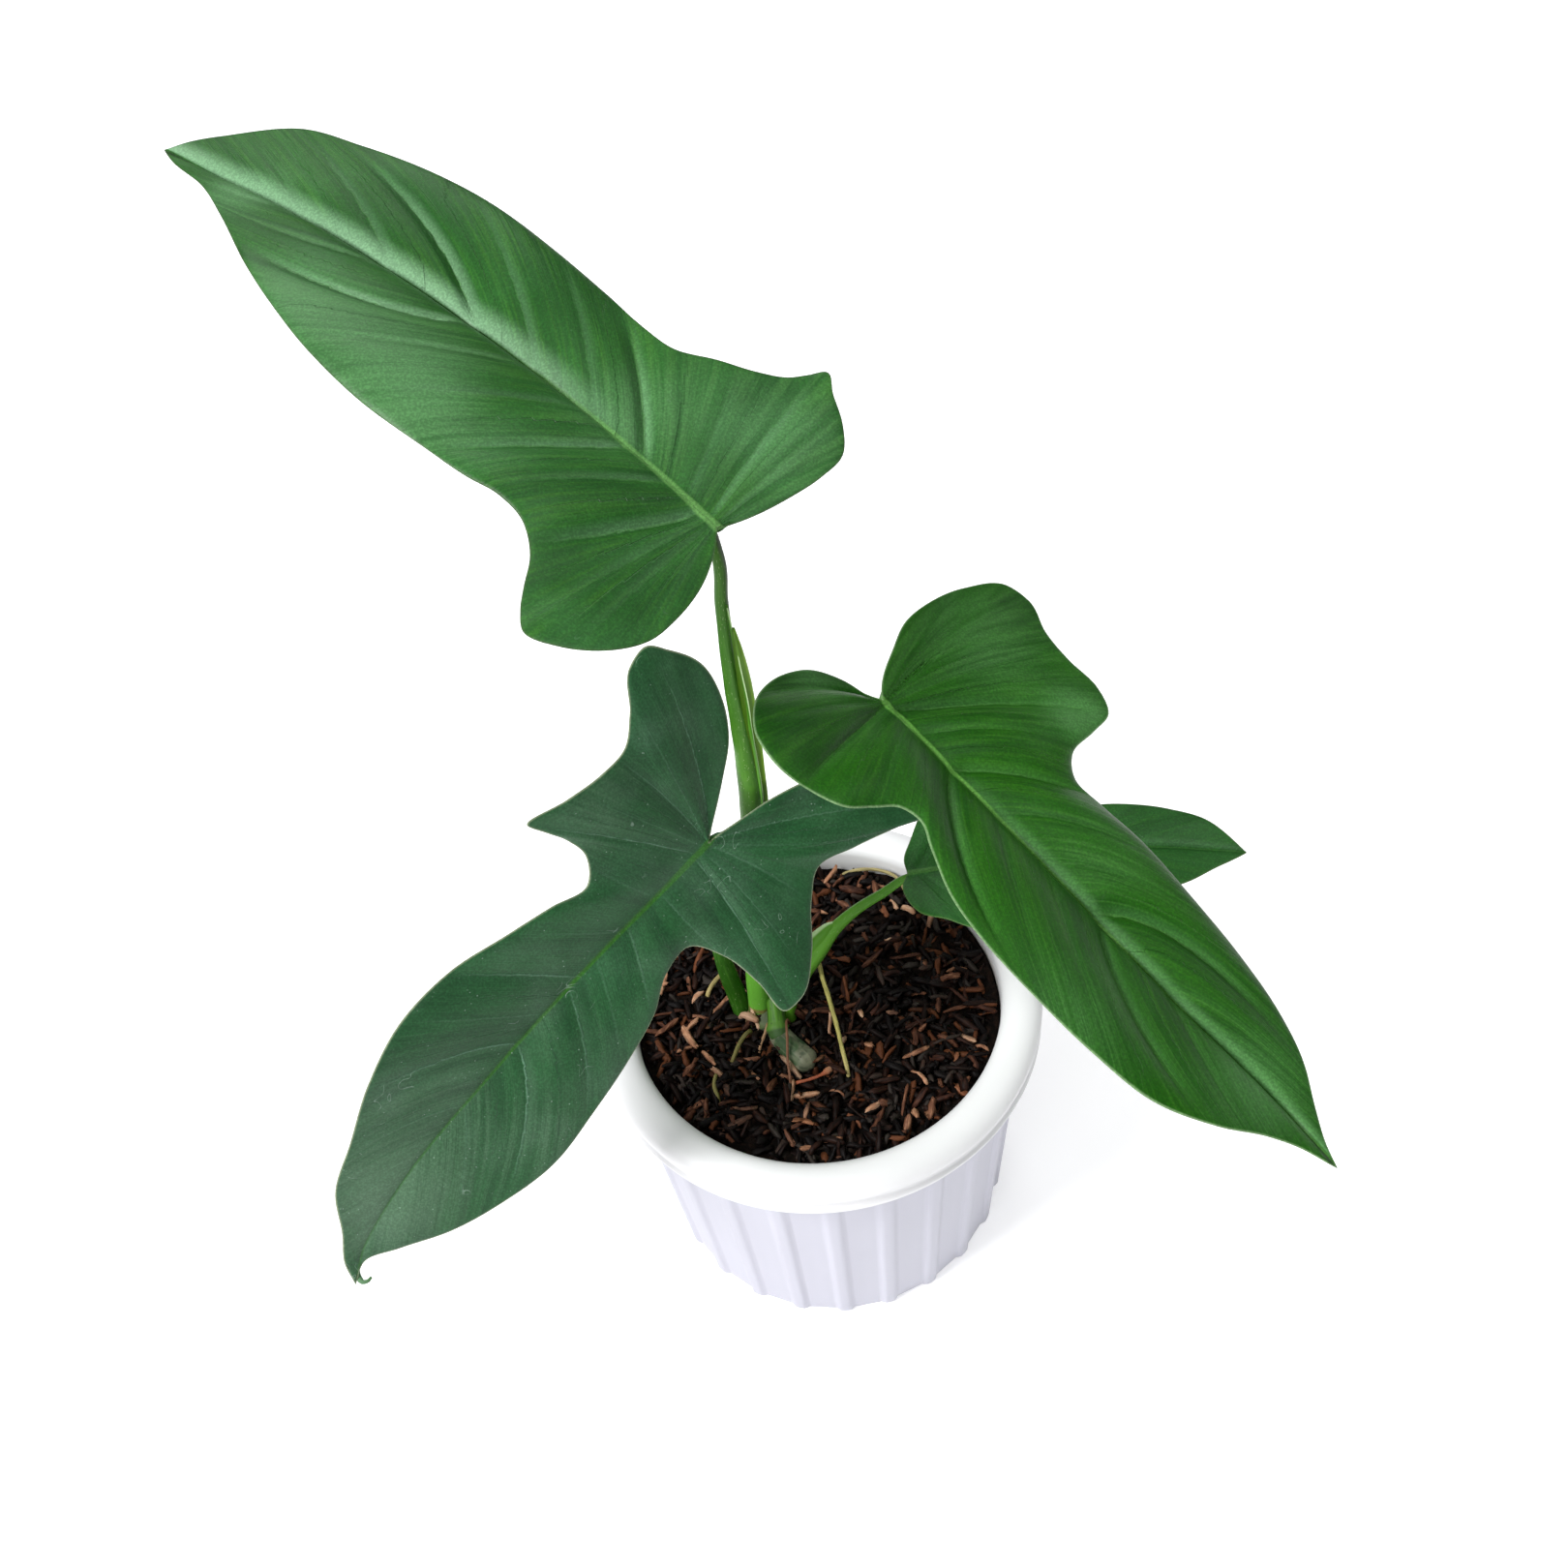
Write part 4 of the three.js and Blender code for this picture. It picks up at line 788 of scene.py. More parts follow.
def petioleSection(distance, total, turn):  # a shallow channel on one side, and a swollen foot
    channel = 1 - 0.1 * np.exp(-((np.mod(turn - 1.2 + math.pi, fullTurn) - math.pi) / 0.5) ** 2)
    return channel * (1 + 0.06 * np.exp(-(distance / 9) ** 2) + 0.015 * np.sin(distance * 0.35 + turn))


# Sheaths: thin flaps along a petiole. Each row is a point on the petiole, then one on the free rim.
flapFinish = {"thickness": 0.45, "rows": 90, "columns": 11, "grain": (4, 60)}
flaps = {
    "sheath_upper_left": {"look": "petiole_upper_left", "bulge": (0.2, -0.7, 0.2), "rows": [
        (-11.2, 1.2, 303, -10.4, -4, 302), (-11, 0.8, 292, -9.8, -4, 291.5),
        (-10.9, 0.6, 279, -9.2, -3.7, 278.7), (-10.3, 0.4, 266, -8.8, -3, 267.7),
        (-9.9, 0.2, 254, -8.7, -1.7, 255.8), (-9.4, 0.3, 241, -8.4, -0.8, 242),
        (-9.2, 0.4, 225, -8, 0.2, 225), (-9.2, 0.6, 210, -8.2, 1, 210)]},
    "sheath_back_right": {"look": "petiole_back_right", "bulge": (-0.4, -1.6, 1.9), "rows": [
        (-11, -3.2, 104, -12, 2, 107), (-10.5, -0.5, 109, -14.1, 2.7, 111.2),
        (-5, 4, 116, -9.3, 8.7, 119.6), (2.3, 8.6, 123.5, -2, 13.2, 127.1),
        (6, 11, 127.5, 2.6, 14.9, 130.9), (8.9, 13, 130.6, 5.8, 16.2, 133),
        (11, 14.2, 132.6, 8.6, 16.4, 134.4)]},
    "sheath_right": {"look": "petiole_right", "bulge": (0.8, -1.4, 0.4), "rows": [
        (-11.5, 1.5, 104, -7, 3, 104), (-12, 3, 112, -7, 4, 112), (-11.2, 5, 122, -6.4, 5.6, 121),
        (-9.2, 7.6, 132, -4.6, 7.4, 130), (-7, 10, 141, -3.4, 9.4, 139)]},
}


def makeFlap(name, finish):
    wish = flaps[name]
    count, columns = flapFinish["rows"], flapFinish["columns"]
    bulge = np.array(wish["bulge"], float)
    rows = smoothCurve(wish["rows"], 3)(np.linspace(0, len(wish["rows"]) - 1, count))
    share = np.linspace(0, 1, columns)
    first, last = rows[:, None, :3], rows[:, None, 3:]
    ends = (np.sin(np.linspace(0, 1, count) * math.pi) ** 0.5)[:, None, None]
    arch = arched(share)[None, :, None] * ends * bulge
    outer = first + (last - first) * share[None, :, None] * (0.25 + 0.75 * ends) + arch
    slope, drift = np.gradient(outer, axis=0), np.gradient(outer, axis=1)
    normal = unit(np.cross(drift, slope))
    normal *= np.sign((normal * bulge).sum())
    inner = outer - normal * flapFinish["thickness"] * (1 - 0.5 * share ** 4)[None, :, None]
    total = count * columns
    index = np.arange(total).reshape(count, columns)
    loop = np.concatenate([index[0], index[1:, -1], index[-1, -2::-1], index[-2:0:-1, 0]])
    following = np.roll(loop, -1)
    walls = np.stack([following, loop, loop + total, following + total], -1)
    faces = gridFaces(index) + gridFaces(index[:, ::-1] + total) + walls.tolist()
    far = np.repeat(np.linspace(0, 1, count), columns)
    across = np.tile(share, count)
    grainAcross, grainAlong = flapFinish["grain"]
    grain = np.stack([across * grainAcross, far * grainAlong, 0 * far], -1)
    reach = np.stack([far, across, 0 * far], -1)
    values = {"grain": np.concatenate([grain] * 2), "reach": np.concatenate([reach] * 2)}
    points = np.concatenate([outer.reshape(-1, 3), inner.reshape(-1, 3)])
    makePiece(name, points, faces, finish, None, values)


def sheathFinish(name, look):
    finish = newFinish(name, Roughness=0.4, Specular_IOR_Level=0.14)
    grain = finish.attribute("grain")
    _, across, _ = finish.attribute("reach")
    lines = finish.fibres(grain, 1.1, 0.05, 0, 3, 0.6)
    colour = finish.blend(lines.ease(0.35, 0.7), look["foot"], look["middle"])
    colour = colour.mix(0.6, look["middle"])
    colour = colour.mix(across.ease(0.15, 0.5, 0, 0.7), look["head"])
    colour = colour.mix(across.ease(0.7, 0.85, 0, 0.95), stalkTones["rim"])
    return finish.finished(colour, lines, 0.0002, 0.5)


rolledLook = {
    "foot": (0.06, 0.14, 0.005), "middle": (0.072, 0.165, 0.004), "head": (0.1, 0.24, 0.02),
    "lines": (0.06, 0.13, 0.01), "lit": (0.19, 0.36, 0.015), "paintedShade": (0.03, 0.075, 0.003),
}


def rolledSection(distance, total, turn):  # a rolled blade: its free edge stands a little proud as a seam
    wrap = np.mod(turn + distance * 0.006, fullTurn) / fullTurn
    return 0.92 + 0.2 * wrap ** 3 - 0.02 * np.cos(6 * turn)


def rolledFinish():
    finish = newFinish("new_leaf", Roughness=0.42, Specular_IOR_Level=0.12)
    grain = finish.attribute("grain")
    along, _, side = finish.attribute("reach")
    colour = finish.blend(along.ease(0.1, 0.6), rolledLook["foot"], rolledLook["middle"])
    colour = colour.mix(along.ease(0.8, 1), rolledLook["head"])
    lines = finish.fibres(grain, 1.5, 0.04, 0, 3, 0.6)
    colour = colour.mix(lines.ease(0.4, 0.7, 0, 0.4), rolledLook["lines"])
    # Painted highlight in lit down one side, and painted shade down the other
    colour = colour.mix(side.ease(-0.5, -0.95, 0, 0.9), rolledLook["lit"])
    colour = colour.mix(side.ease(-0.1, 0.6, 0, 0.75), rolledLook["paintedShade"])
    return finish.finished(colour, lines, 0.0002, 0.4)


# Cane: the crown under the petioles, with leaf scars, the stub of an older stem and a young internode
caneLook = {
    "stub": ((0.055, 0.072, 0.038), (0.185, 0.19, 0.12)), "stubGreen": (0.022, 0.07, 0.018),
    "stubLines": (0.25, 0.26, 0.17), "crown": ((0.03, 0.05, 0.008), (0.055, 0.09, 0.016)),
    "crownBrown": (0.12, 0.06, 0.03), "young": ((0.03, 0.11, 0.004), (0.07, 0.215, 0.008)),
    "youngRing": (0.09, 0.22, 0.025), "youngEnd": (0.03, 0.08, 0.018), "pit": (0.02, 0.018, 0.012),
}


def crownSection(distance, total, turn):
    scars = 0.1 * np.exp(-((np.mod(distance, 5.5) - 2.7) / 0.7) ** 2)
    return 1 + scars + 0.05 * np.sin(3 * turn + distance * 0.4) + 0.03 * np.sin(7 * turn - distance)


def stubSection(distance, total, turn):
    return 1 + 0.03 * np.sin(2 * turn + distance * 0.2) + 0.015 * np.sin(9 * turn)


def ringSection(distance, total, turn):
    return 1 + 0.14 * np.exp(-((distance - total + 3) / 0.9) ** 2) + 0.02 * np.sin(2 * turn + distance * 0.3)


caneKinds = {"crown": (crownSection, 0), "stub": (stubSection, 1), "internode": (ringSection, -1)}


def makeCane(finish):
    made, start = [], 0
    for key, (section, kind) in caneKinds.items():
        points, faces, values = stemParts(caneStems[key], 32, 0.7, section)
        values["reach"][:, 1] = kind
        made.append((points, [[i + start for i in face] for face in faces], values))
        start += len(points)
    points, faces, values = zip(*made)
    values = {label: np.concatenate([own[label] for own in values]) for label in values[0]}
    makePiece("cane_piece", np.concatenate(points), sum(faces, []), finish, "cane", values)


def caneFinish():
    finish = newFinish("cane", Roughness=0.6)
    look = caneLook
    along, kind, _ = finish.attribute("reach")
    grain = finish.attribute("grain")
    spot = finish.place()
    mottle = finish.cloud(spot, 260, 3)
    lines = finish.fibres(grain, 1.2, 0.09)
    stub = finish.blend(mottle.ease(0.35, 0.65), *look["stub"])
    stub = stub.mix(finish.cloud(spot, 95).ease(0.5, 0.6, 0, 0.85), look["stubGreen"])
    stub = stub.mix(lines.ease(0.5, 0.7, 0, 0.4), look["stubLines"])
    crown = finish.blend(mottle.ease(0.35, 0.65), *look["crown"])
    crown = crown.mix(finish.cloud(spot, 150).ease(0.5, 0.6, 0, 0.8), look["crownBrown"])
    young = finish.blend(lines.ease(0.35, 0.7), *look["young"])
    young = young.mix(along.ease(0.62, 0.7, 0, 0.6), look["youngRing"])
    young = young.mix(along.ease(0.8, 0.86, 0, 0.85), look["youngEnd"])
    colour = crown.mix(kind.ease(0, 1), stub).mix(kind.ease(-0.4, -0.6), young)
    colour = colour.mix(finish.cloud(spot, 700, 1).ease(0.66, 0.74, 0, 0.5), look["pit"])
    return finish.finished(colour, mottle + lines, 0.0004, 0.6)


rootLooks = {
    "root_yellow": {
        "pale": (0.54, 0.48, 0.14), "dark": (0.24, 0.21, 0.05), "tip": (0.46, 0.36, 0.16), "slim": 0.6},
    "root_brown": {
        "pale": (0.3, 0.13, 0.065), "dark": (0.12, 0.05, 0.025), "tip": (0.16, 0.07, 0.035), "slim": 0.48},
    "root_olive": {
        "pale": (0.2, 0.17, 0.04), "dark": (0.08, 0.07, 0.02), "tip": (0.2, 0.15, 0.05), "slim": 0.75},
    "root_back": {
        "pale": (0.4, 0.33, 0.14), "dark": (0.17, 0.14, 0.05), "tip": (0.32, 0.22, 0.11), "slim": 0.5},
}

# Loose strands on the soil, and the hooked drip tip of the old leaf
strays = {
    "twig_red": {
        "slot": "root", "pale": (0.42, 0.1, 0.035), "dark": (0.22, 0.05, 0.02), "tip": (0.5, 0.3, 0.17),
        "route": [(-13, -28, 104, 0.5), (-10, -28.4, 106.6, 0.55), (-5.5, -28.2, 107.4, 0.55),
                  (-1.5, -27.2, 107.8, 0.6), (1, -25.5, 107.4, 1.1), (2.2, -24.2, 106.4, 0.7)],
    },
    "strand_olive": {
        "slot": "root", "pale": (0.22, 0.19, 0.05), "dark": (0.1, 0.09, 0.02), "tip": (0.3, 0.22, 0.08),
        "route": [(-35.6, -20, 103, 0.6), (-36.2, -22.3, 107, 0.7), (-37, -26, 107.4, 0.7),
                  (-36.3, -30, 106.8, 0.7), (-35.8, -32.5, 103, 0.6)],
    },
    "strand_tan": {
        "slot": "root", "pale": (0.42, 0.26, 0.14), "dark": (0.22, 0.11, 0.05), "tip": (0.36, 0.2, 0.11),
        "route": [(-16.6, -3, 106, 0.6), (-17.4, -6, 108.3, 0.6), (-19, -9.6, 107.6, 0.55),
                  (-20.6, -12.6, 106.6, 0.5), (-21.6, -14.6, 103, 0.5)],
    },
    "strand_pale": {
        "slot": "root", "pale": (0.42, 0.34, 0.13), "dark": (0.2, 0.15, 0.05), "tip": (0.36, 0.26, 0.1),
        "route": [(-37.5, 9.5, 103, 0.7), (-36, 11.4, 107.2, 0.8), (-33, 15.2, 108, 0.8),
                  (-29.8, 18, 107.6, 0.8), (-28, 19.6, 103, 0.7)],
    },
    "knob_pink": {
        "slot": "root", "pale": (0.5, 0.3, 0.2), "dark": (0.3, 0.17, 0.1), "tip": (0.42, 0.2, 0.12),
        "route": [(-26.4, 0.6, 105, 0.8), (-24.8, -0.8, 108.4, 1.1), (-22.6, -2.4, 109, 1.4),
                  (-20.6, -3.6, 108.2, 1)],
    },
    "drip_tip": {
        "slot": "old_leaf", "pale": (0.1, 0.21, 0.1), "dark": (0.06, 0.15, 0.06), "tip": (0.05, 0.15, 0.03),
        "route": [(-147.6, -89.8, 132, 0.8), (-147.2, -92, 131.1, 0.9), (-146, -93.6, 130.9, 0.8),
                  (-144.4, -93.5, 131, 0.6), (-143.4, -92.5, 131.2, 0.4)],
    },
}


def rootFinish(name, look):
    finish = newFinish(name, Roughness=0.68)
    grain = finish.attribute("grain")
    along, _, _ = finish.attribute("reach")
    lines = finish.fibres(grain, 1.1, 0.16, 0, 3, 0.65)
    rings = finish.fibres(grain, 0.2, 1.4, 3, 1)
    colour = finish.blend(lines.ease(0.35, 0.65), look["dark"], look["pale"])
    colour = colour.mix(along.ease(0.7, 0.95, 0, 0.7), look["tip"])
    colour = colour.mix(rings.ease(0.6, 0.72, 0, 0.55), look["dark"])
    return finish.finished(colour, lines + rings, 0.0002, 0.4)


def rootSection(distance, total, turn):
    return (1 + 0.08 * np.sin(distance * 0.9 + 2 * turn) * np.sin(distance * 0.31)
            + 0.03 * np.sin(distance * 2.3) + 0.03 * np.sin(3 * turn + distance * 0.5))


# Soil: a dark bed, with flakes of husk and bark over it
soilSettings = {
    "level": 104.8, "swell": 1.1, "edge": 60.6, "lowRadius": 55.1, "low": 3.3, "sunk": 1.2, "deepest": 4,
    "mound": (-16, 1.2, 400), "crumbs": ((2.4, 0.25), (1.1, 0.175)), "rings": 90, "segments": 220,
    "seed": 11, "tones": ((0.003, 0.002, 0.0015), (0.012, 0.006, 0.004)),
}


def soilHeight(x, y):
    swell = np.sin(x / 11 + 0.6) * np.cos(y / 13 - 0.4) + 0.6 * np.sin((x + 1.7 * y) / 7)
    middle, rise, spread = soilSettings["mound"]
    mound = rise * np.exp(-((x - middle) ** 2 + y ** 2) / spread)
    return soilSettings["level"] + soilSettings["swell"] * swell + mound


def makeSoilBed(finish):
    random = np.random.default_rng(soilSettings["seed"])
    share = np.linspace(0, 1, soilSettings["rings"] + 1)[1:]
    turn = np.linspace(0, fullTurn, soilSettings["segments"], endpoint=False)
    x, y = (soilSettings["edge"] * share[:, None] * way for way in (np.cos(turn), np.sin(turn)))
    z = soilHeight(x, y) - soilSettings["sunk"]
    for size, rise in soilSettings["crumbs"]:
        for dx, dy, phase in random.uniform(-1, 1, (6, 3)):
            z += rise * np.sin((dx * x + dy * y) / size * 1.4 + phase * 9)
    z = np.maximum(z, soilSettings["level"] - soilSettings["deepest"])
    radius, low = soilSettings["lowRadius"], soilSettings["low"]
    wall = np.stack([radius * np.cos(turn), radius * np.sin(turn), np.full_like(turn, low)], -1)[None]
    rings = np.concatenate([np.stack([x, y, z], -1), wall])
    index = 1 + np.arange(rings.shape[0] * rings.shape[1]).reshape(rings.shape[:2])
    caps = capFaces(0, index[0].tolist(), index.size + 1, index[-1].tolist())
    faces = [face[::-1] for face in gridFaces(index, closed=True) + caps]
    centre = [[0, 0, soilHeight(0, 0) - soilSettings["sunk"]]]
    points = np.concatenate([centre, rings.reshape(-1, 3), [[0, 0, low]]])
    makePiece("soil_bed", points, faces, finish, "soil")


def soilFinish():
    finish = newFinish("soil", Roughness=0.95, Specular_IOR_Level=0.08)
    crumb = finish.cloud(finish.place(), 500, 4, 0.6)
    colour = finish.blend(crumb.ease(0.4, 0.7), *soilSettings["tones"])
    return finish.finished(colour, crumb, mm, 0.9)


husks = [
    {"name": "husk_lower", "count": 1300, "seed": 5, "drop": 1.9, "length": (5, 11), "width": (1.8, 3),
     "thickness": (0.7, 1.2), "tilt": 0.35, "tones": (0, 0.06, 0.16, 0.28),
     "weights": (0.5, 0.32, 0.12, 0.06)},
    {"name": "husk_upper", "count": 850, "seed": 6, "drop": 0.3, "length": (4.5, 10), "width": (1.5, 3.2),
     "thickness": (0.6, 1.1), "tilt": 0.45, "tones": (0, 0.12, 0.24, 0.38, 0.52),
     "weights": (0.44, 0.26, 0.17, 0.09, 0.04)},
    {"name": "husk_top", "count": 170, "seed": 9, "drop": -1.2, "length": (6, 11.5), "width": (1.5, 2.8),
     "thickness": (0.6, 1), "tilt": 0.3, "tones": (0.2, 0.42, 0.58, 0.7, 0.84),
     "weights": (0.3, 0.28, 0.2, 0.14, 0.08)},
]
# A husk is an arched spindle, thicker in the middle: its stations, its girth at each, and its section
huskForm = {
    "stations": (0, 0.12, 0.35, 0.65, 0.88, 1), "girth": (0.42, 0.85, 1, 0.96, 0.8, 0.38),
    "section": ((-1, -0.25), (-0.45, 0.75), (0.45, 0.8), (1, -0.2), (0, 0.15)),
    "roll": 0.5, "bow": (-0.5, 1.4), "lift": 1.3, "wobble": 0.085, "toneSpread": 0.05, "seeds": 90,
}
huskTones = {
    "ramp": [(0, (0.003, 0.002, 0.002)), (0.2, (0.008, 0.0035, 0.0025)), (0.38, (0.036, 0.013, 0.008)),
             (0.56, (0.12, 0.048, 0.026)), (0.75, (0.37, 0.185, 0.105)), (1, (0.68, 0.48, 0.33))],
    "grey": (0.075, 0.06, 0.05), "red": (0.22, 0.07, 0.025),
}


def turned(first, second, angle):
    cosine, sine = np.cos(angle)[:, None], np.sin(angle)[:, None]
    return first * cosine - second * sine, first * sine + second * cosine


def makeFlakes(finish, name, count, seed, drop, length, width, thickness, tilt, tones, weights):
    random = np.random.default_rng(seed)
    stations, girth, loop = (np.array(huskForm[key]) for key in ("stations", "girth", "section"))
    section = np.zeros((len(stations), len(loop), 3))
    section[..., 0] = (stations - 0.5)[:, None]
    section[..., 1] = girth[:, None] * loop[None, :, 0] * 0.5
    section[..., 2] = girth[:, None] ** 0.5 * loop[None, :, 1]
    shape = section.reshape(-1, 3)
    per = len(shape)
    index = np.arange(per).reshape(section.shape[:2])
    quads = np.array(gridFaces(index, closed=True))
    caps = [index[0, ::-1].tolist(), index[-1].tolist()]

    radius = (soilSettings["edge"] - 2) * np.sqrt(random.uniform(0, 1, count))
    turn = random.uniform(0, fullTurn, count)
    x, y = radius * np.cos(turn), radius * np.sin(turn)
    length, width, thick = (random.uniform(*limits, count) for limits in (length, width, thickness))
    heading = random.uniform(0, fullTurn, count)
    pitch = random.normal(0, tilt, count)
    roll = random.normal(0, huskForm["roll"], count)
    bow = random.uniform(*huskForm["bow"], count)
    limit = soilSettings["edge"] - 0.5
    pull = np.minimum(1, np.maximum(limit - length * 0.5, 5) / np.maximum(np.hypot(x, y), 1e-6))
    x, y = x * pull, y * pull
    z = soilHeight(x, y) - drop + random.uniform(-huskForm["lift"], huskForm["lift"], count)

    local = shape[None] * np.stack([length, width, thick], -1)[:, None, :]
    local[..., 2] += bow[:, None] * (1 - (shape[None, :, 0] * 2) ** 2)
    local = local + random.normal(0, huskForm["wobble"], local.shape) * width[:, None, None]
    v, w = turned(local[..., 1], local[..., 2], roll)
    u, w = turned(local[..., 0], w, pitch)
    u, v = turned(u, v, heading)
    px, py = x[:, None] + u, y[:, None] + v
    squeeze = np.minimum(1, limit / np.maximum(np.hypot(px, py), 1e-6))
    points = np.stack([px * squeeze, py * squeeze, z[:, None] + w], -1).reshape(-1, 3)
    faces = (quads[None] + (np.arange(count) * per)[:, None, None]).reshape(-1, 4).tolist()
    faces += [[i + k * per for i in cap] for k in range(count) for cap in caps]
    tone = random.choice(tones, count, p=weights) + random.normal(0, huskForm["toneSpread"], count)
    own, kind = random.uniform(0, huskForm["seeds"], count), random.uniform(0, 1, count)
    tone, own, kind = (np.repeat(value[:, None], per, 1) for value in (tone, own, kind))
    values = {
        "grain": np.stack([local[..., 1], local[..., 0], own], -1).reshape(-1, 3),
        "marks": np.stack([tone, kind, 0 * tone], -1).reshape(-1, 3),
    }
    makePiece(name, points, faces, finish, None, values)


def flakeFinish():
    finish = newFinish("husk", Roughness=0.55, Specular_IOR_Level=0.1)
    grain = finish.attribute("grain")
    tone, kind, _ = finish.attribute("marks")
    fibre = finish.fibres(grain, 2.2, 0.25, 0, 3, 0.6)
    blotch = finish.fibres(grain, 0.5, 0.3, 4)
    tone = tone + (fibre - 0.5) * 0.5 + (blotch - 0.5) * 0.35
    colour = finish.add("ValToRGB", {0: tone})
    bar = colour.socket.node.color_ramp
    while len(bar.elements) < len(huskTones["ramp"]):
        bar.elements.new(0.5)
    for element, (place, shade) in zip(bar.elements, huskTones["ramp"]):
        element.position = place
        element.color = (*shade, 1)
    colour = colour.mix(kind.ease(0.86, 0.9, 0, 0.3), huskTones["grey"])
    colour = colour.mix(kind.ease(0.1, 0.06, 0, 0.35), huskTones["red"])
    return finish.finished(colour, fibre, 0.0003, 0.8)


# Pot: one turned wall with soft ribs round it
potSettings = {
    "height": 114.2, "rimRadius": 75, "rimHalfWidth": 6.8, "rimHalfHeight": 4.8, "baseRadius": 59,
    "footBend": 1.4, "shoulderRadius": 67.6, "shoulderHeight": 100.6, "mouthRadius": 61.2,
    "floorRadius": 55.7, "floorHeight": 3,
    "collar": ((2.4, 0.1), (1.2, 0.35), (0.5, 1), (0.25, 1.8), (0.5, 2.6), (1.2, 3.2), (1.35, 3.7)),
    "ribCount": 23, "firstRib": -93.3, "ribHalfWidth": 2.9, "ribSlope": 0.9, "ribHeight": 1.3,
    "panelDip": 0.22, "stepsPerRib": 20, "wallRows": 26, "rimRows": 30, "insideRows": 12, "holes": 6,
    "holeRadius": 4, "holeCircle": 40, "holeSides": 32,
}
# Wall and rim are one white plastic: the rim tone is painted lighter and the wall tones darker, as painted
# light and shade
potTones = {
    "wall": ((0.48, 0.478, 0.55), (0.515, 0.513, 0.583)), "rim": (0.75, 0.75, 0.765),
    "fleck": (0.1, 0.09, 0.1), "grime": (0.3, 0.26, 0.22),
}


def potProfile():
    # (radius, height, rib share) from the middle of the base, up the outside, over the rim and down inside
    p = potSettings
    base, bend, shoulder, top, rim = (
        p[key] for key in ("baseRadius", "footBend", "shoulderRadius", "shoulderHeight", "rimRadius"))
    rows = [(0.02, 0, 0), (30, 0, 0), (base - 3, 0, 0), (base - bend, 0, 0.35)]
    for angle in (25, 55, 85):
        cosine, sine = math.cos(math.radians(angle)), math.sin(math.radians(angle))
        rows.append((base - bend + bend * sine, bend - bend * cosine, 0.35 + 0.65 * sine))
    for share in np.linspace(0.03, 0.975, p["wallRows"]):
        ribShare = 1 - max(0, share - 0.93) / 0.045 * 0.9
        rows.append((between((base, shoulder), share), bend + (top - bend) * share, ribShare))
    rows += [(shoulder + 0.2, top - 0.6, 0), (shoulder + 0.9, top - 0.1, 0)]
    rows += [(rim - inward, top + rise, 0) for inward, rise in p["collar"]]
    halfWidth, halfHeight = p["rimHalfWidth"], p["rimHalfHeight"]
    rimMiddle = p["height"] - halfHeight
    for a in np.radians(np.linspace(-42, 180, p["rimRows"])):
        rows.append((rim - halfWidth + halfWidth * math.cos(a), rimMiddle + halfHeight * math.sin(a), 0))
    rows.append((p["mouthRadius"] + 0.05, rimMiddle - 2, 0))
    for share in np.linspace(0, 1, p["insideRows"]):
        radius = between((p["mouthRadius"], p["floorRadius"]), share)
        rows.append((radius, rimMiddle - 4 + (p["floorHeight"] - rimMiddle + 4) * share, 0))
    rows += [(30, p["floorHeight"], 0), (0.02, p["floorHeight"], 0)]
    return np.array(rows, float)


def potDrill():  # one upright pin for each drain hole
    p = potSettings
    sides, circle, radius = p["holeSides"], p["holeCircle"], p["holeRadius"]
    corners, walls = [], []
    for hole in range(p["holes"]):
        middle = fullTurn * hole / p["holes"]
        low = list(range(len(corners), len(corners) + sides))
        high = [i + sides for i in low]
        for z in (-2, p["floorHeight"] + 2):
            for a in (fullTurn * k / sides for k in range(sides)):
                corners.append(((circle * math.cos(middle) + radius * math.cos(a)) * mm,
                                (circle * math.sin(middle) + radius * math.sin(a)) * mm, z * mm))
        walls += gridFaces(np.array([low, high]), closed=True) + [low[::-1], high]
    data = bpy.data.meshes.new("drill")
    data.from_pydata(corners, [], walls)
    return addObject("drill", data)


def makePot(finish):
    p = potSettings
    rows = potProfile()
    count = p["ribCount"] * p["stepsPerRib"]
    turn = np.radians(p["firstRib"]) + np.linspace(0, fullTurn, count, endpoint=False)
    place = (np.arange(count) / p["stepsPerRib"] + 0.5) % 1 - 0.5  # -0.5 to 0.5 across a rib and its panels
    arc = np.abs(place) * 2 * math.pi * p["shoulderRadius"] / p["ribCount"]
    s = np.clip((p["ribHalfWidth"] + p["ribSlope"] - arc) / (2 * p["ribSlope"]), 0, 1)
    rib = s * s * (3 - 2 * s) * (1 - 0.12 * (arc / p["ribHalfWidth"]) ** 2).clip(0, 1)
    panel = -p["panelDip"] * np.clip((arc - p["ribHalfWidth"]) / 6, 0, 1)
    out = rows[:, :1] + rows[:, 2:3] * (p["ribHeight"] * rib + panel)[None, :]
    points = np.stack([out * np.cos(turn), out * np.sin(turn), np.broadcast_to(rows[:, 1:2], out.shape)], -1)
    index = np.arange(out.size).reshape(out.shape)
    faces = gridFaces(index, closed=True) + [index[0, ::-1].tolist(), index[-1].tolist()]
    piece = makePiece("ribbed_pot", points.reshape(-1, 3), faces, finish, "pot")
    tool = potDrill()
    cut = piece.modifiers.new("holes", "BOOLEAN")
    cut.operation = "DIFFERENCE"
    cut.object = tool
    cut.solver = "MANIFOLD"
    bpy.context.view_layer.objects.active = piece
    bpy.ops.object.modifier_apply(modifier=cut.name)
    bpy.data.objects.remove(tool)


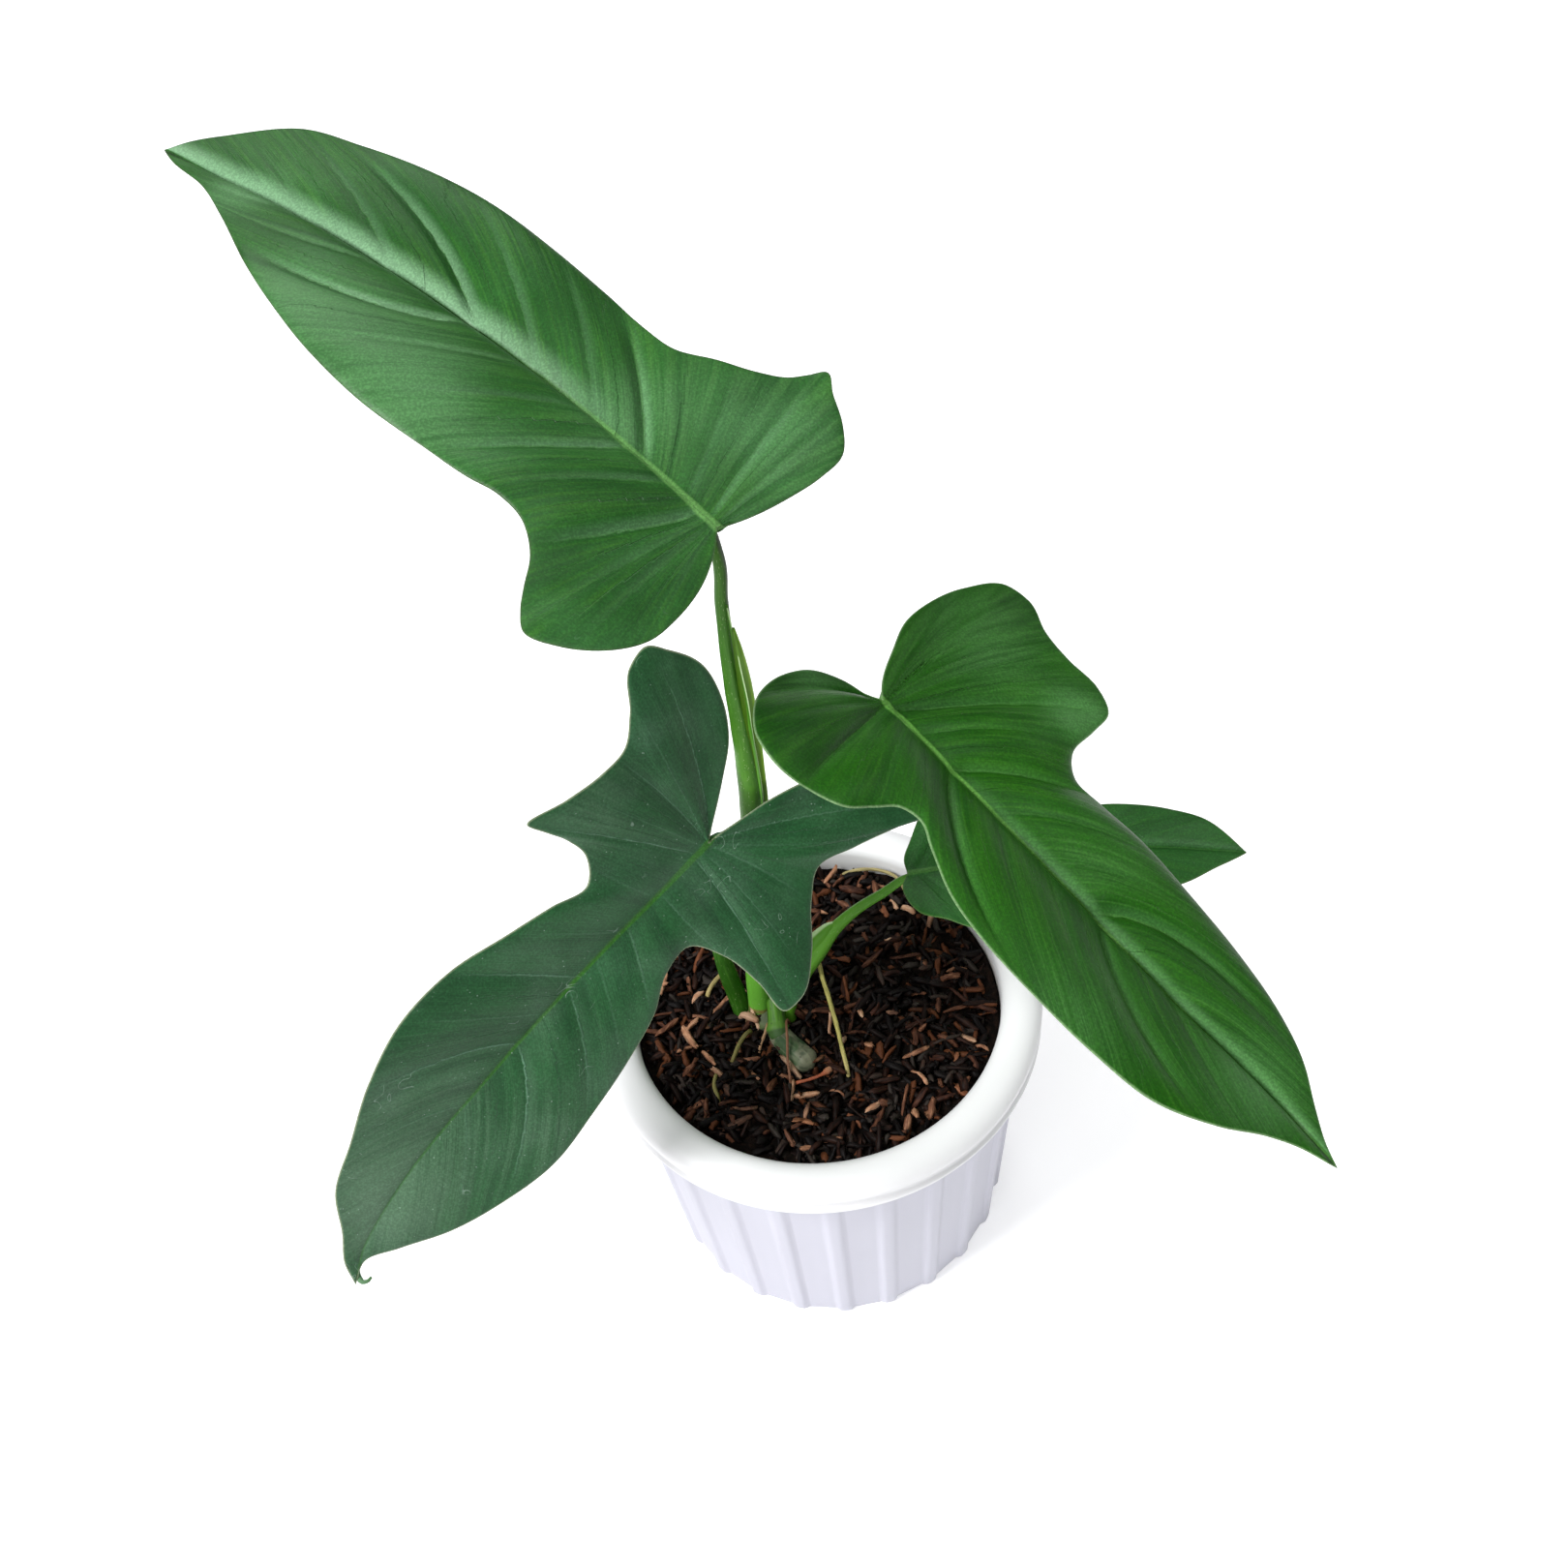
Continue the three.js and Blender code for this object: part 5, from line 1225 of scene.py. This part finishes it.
def potFinish():
    finish = newFinish("pot", Specular_IOR_Level=0.5)
    spot = finish.place()
    x, y, height = finish.parts(spot)
    haze = finish.cloud(spot, 12, 3)
    colour = finish.blend(haze.ease(0.35, 0.7), *potTones["wall"])
    # The rim is painted lighter than the wall: painted light on the rim
    colour = colour.mix(height.ease(0.1005, 0.1025), potTones["rim"])
    fleck = finish.cells(spot, 90).ease(0.02, 0.06, 0.7, 0) * finish.cloud(spot, 60, 1).ease(0.72, 0.74)
    colour = colour.mix(fleck, potTones["fleck"])
    # Grime inside, along the line of the soil
    radius = (x.calc("POWER", 2) + y.calc("POWER", 2)).calc("SQRT")
    grime = height.ease(0.1035, 0.1075, 1, 0) * haze.ease(0.3, 0.7, 0.2, 0.8)
    grime = grime * radius.ease(0.0615, 0.063, 1, 0) * height.ease(0.094, 0.098)
    colour = colour.mix(grime, potTones["grime"])
    finish.put(haze.ease(0.3, 0.7, 0.44, 0.52), finish.shader.inputs["Roughness"])
    return finish.finished(colour, finish.cloud(spot, 900), 0.0001, 0.25)


def makeStage():
    world = bpy.data.worlds.new("studio")
    bpy.context.scene.world = world
    sky = Nodes(world)
    back = sky.tree.nodes["Background"]
    _, _, height = sky.parts(sky.place("Generated"))
    light = height.ease(*(skySettings[key] for key in ("from", "to", "low", "high")))
    sky.put((1, 1, 1, 1), back.inputs[0])
    sky.put(light, back.inputs[1])
    for name, wish in lamps.items():
        makeLamp(name, **wish)
    bpy.context.scene.view_settings.view_transform = "Standard"
    finish = newFinish("floor", Roughness=floorSettings["roughness"], Base_Color=(*floorSettings["tone"], 1),
                       Emission_Color=(1, 1, 1, 1), Emission_Strength=floorSettings["glow"])
    radius, sides = floorSettings["radius"], floorSettings["sides"]
    data = bpy.data.meshes.new("floor")
    rim = [(radius * math.cos(fullTurn * k / sides), radius * math.sin(fullTurn * k / sides), 0)
           for k in range(sides)]
    data.from_pydata(rim, [], [list(range(len(rim)))])
    data.materials.append(finish.owner)
    floor = addObject("floor", data)


makeCamera()
makeStage()
print("stage: camera, lights and floor")

makePot(potFinish())
print("pot: ribbed wall, rim and drain holes")

makeSoilBed(soilFinish())
husk = flakeFinish()
for layer in husks:
    makeFlakes(husk, **layer)
print("soil: bed and husks")

makeCane(caneFinish())
for name, look in petioleLooks.items():
    shares = np.linspace(0, 1, len(stems[name]))
    girth = np.interp(shares, *zip(*look["girth"]))
    grown = [(x, y, z, radius * size) for (x, y, z, radius), size in zip(stems[name], girth)]
    makeStem(name + "_stem", grown, petioleFinish(name, look), name, 20, 1.2, petioleSection)
for name, flap in flaps.items():
    makeFlap(name, sheathFinish(name, petioleLooks[flap["look"]]))
makeStem("new_leaf_roll", stems["new_leaf"], rolledFinish(), "new_leaf", 28, 1.2, rolledSection)
for name, look in rootLooks.items():
    slimmed = [(x, y, z, radius * look["slim"]) for x, y, z, radius in stems[name]]
    makeStem(name + "_strand", slimmed, rootFinish(name, look), name, 14, 0.8, rootSection)
for name, stray in strays.items():
    makeStem(name, stray["route"], rootFinish(name, stray), None, 10, 0.6, rootSection)
print("stems: cane, petioles, sheaths, new leaf and roots")

for name, slotName in (("leaf_upper_left", "leaf"), ("leaf_right", "leaf"),
                       ("leaf_front_left", "old_leaf"), ("leaf_back_right", "old_leaf")):
    makeBlade(name, leafFinish(name))
print("leaves: four blades")
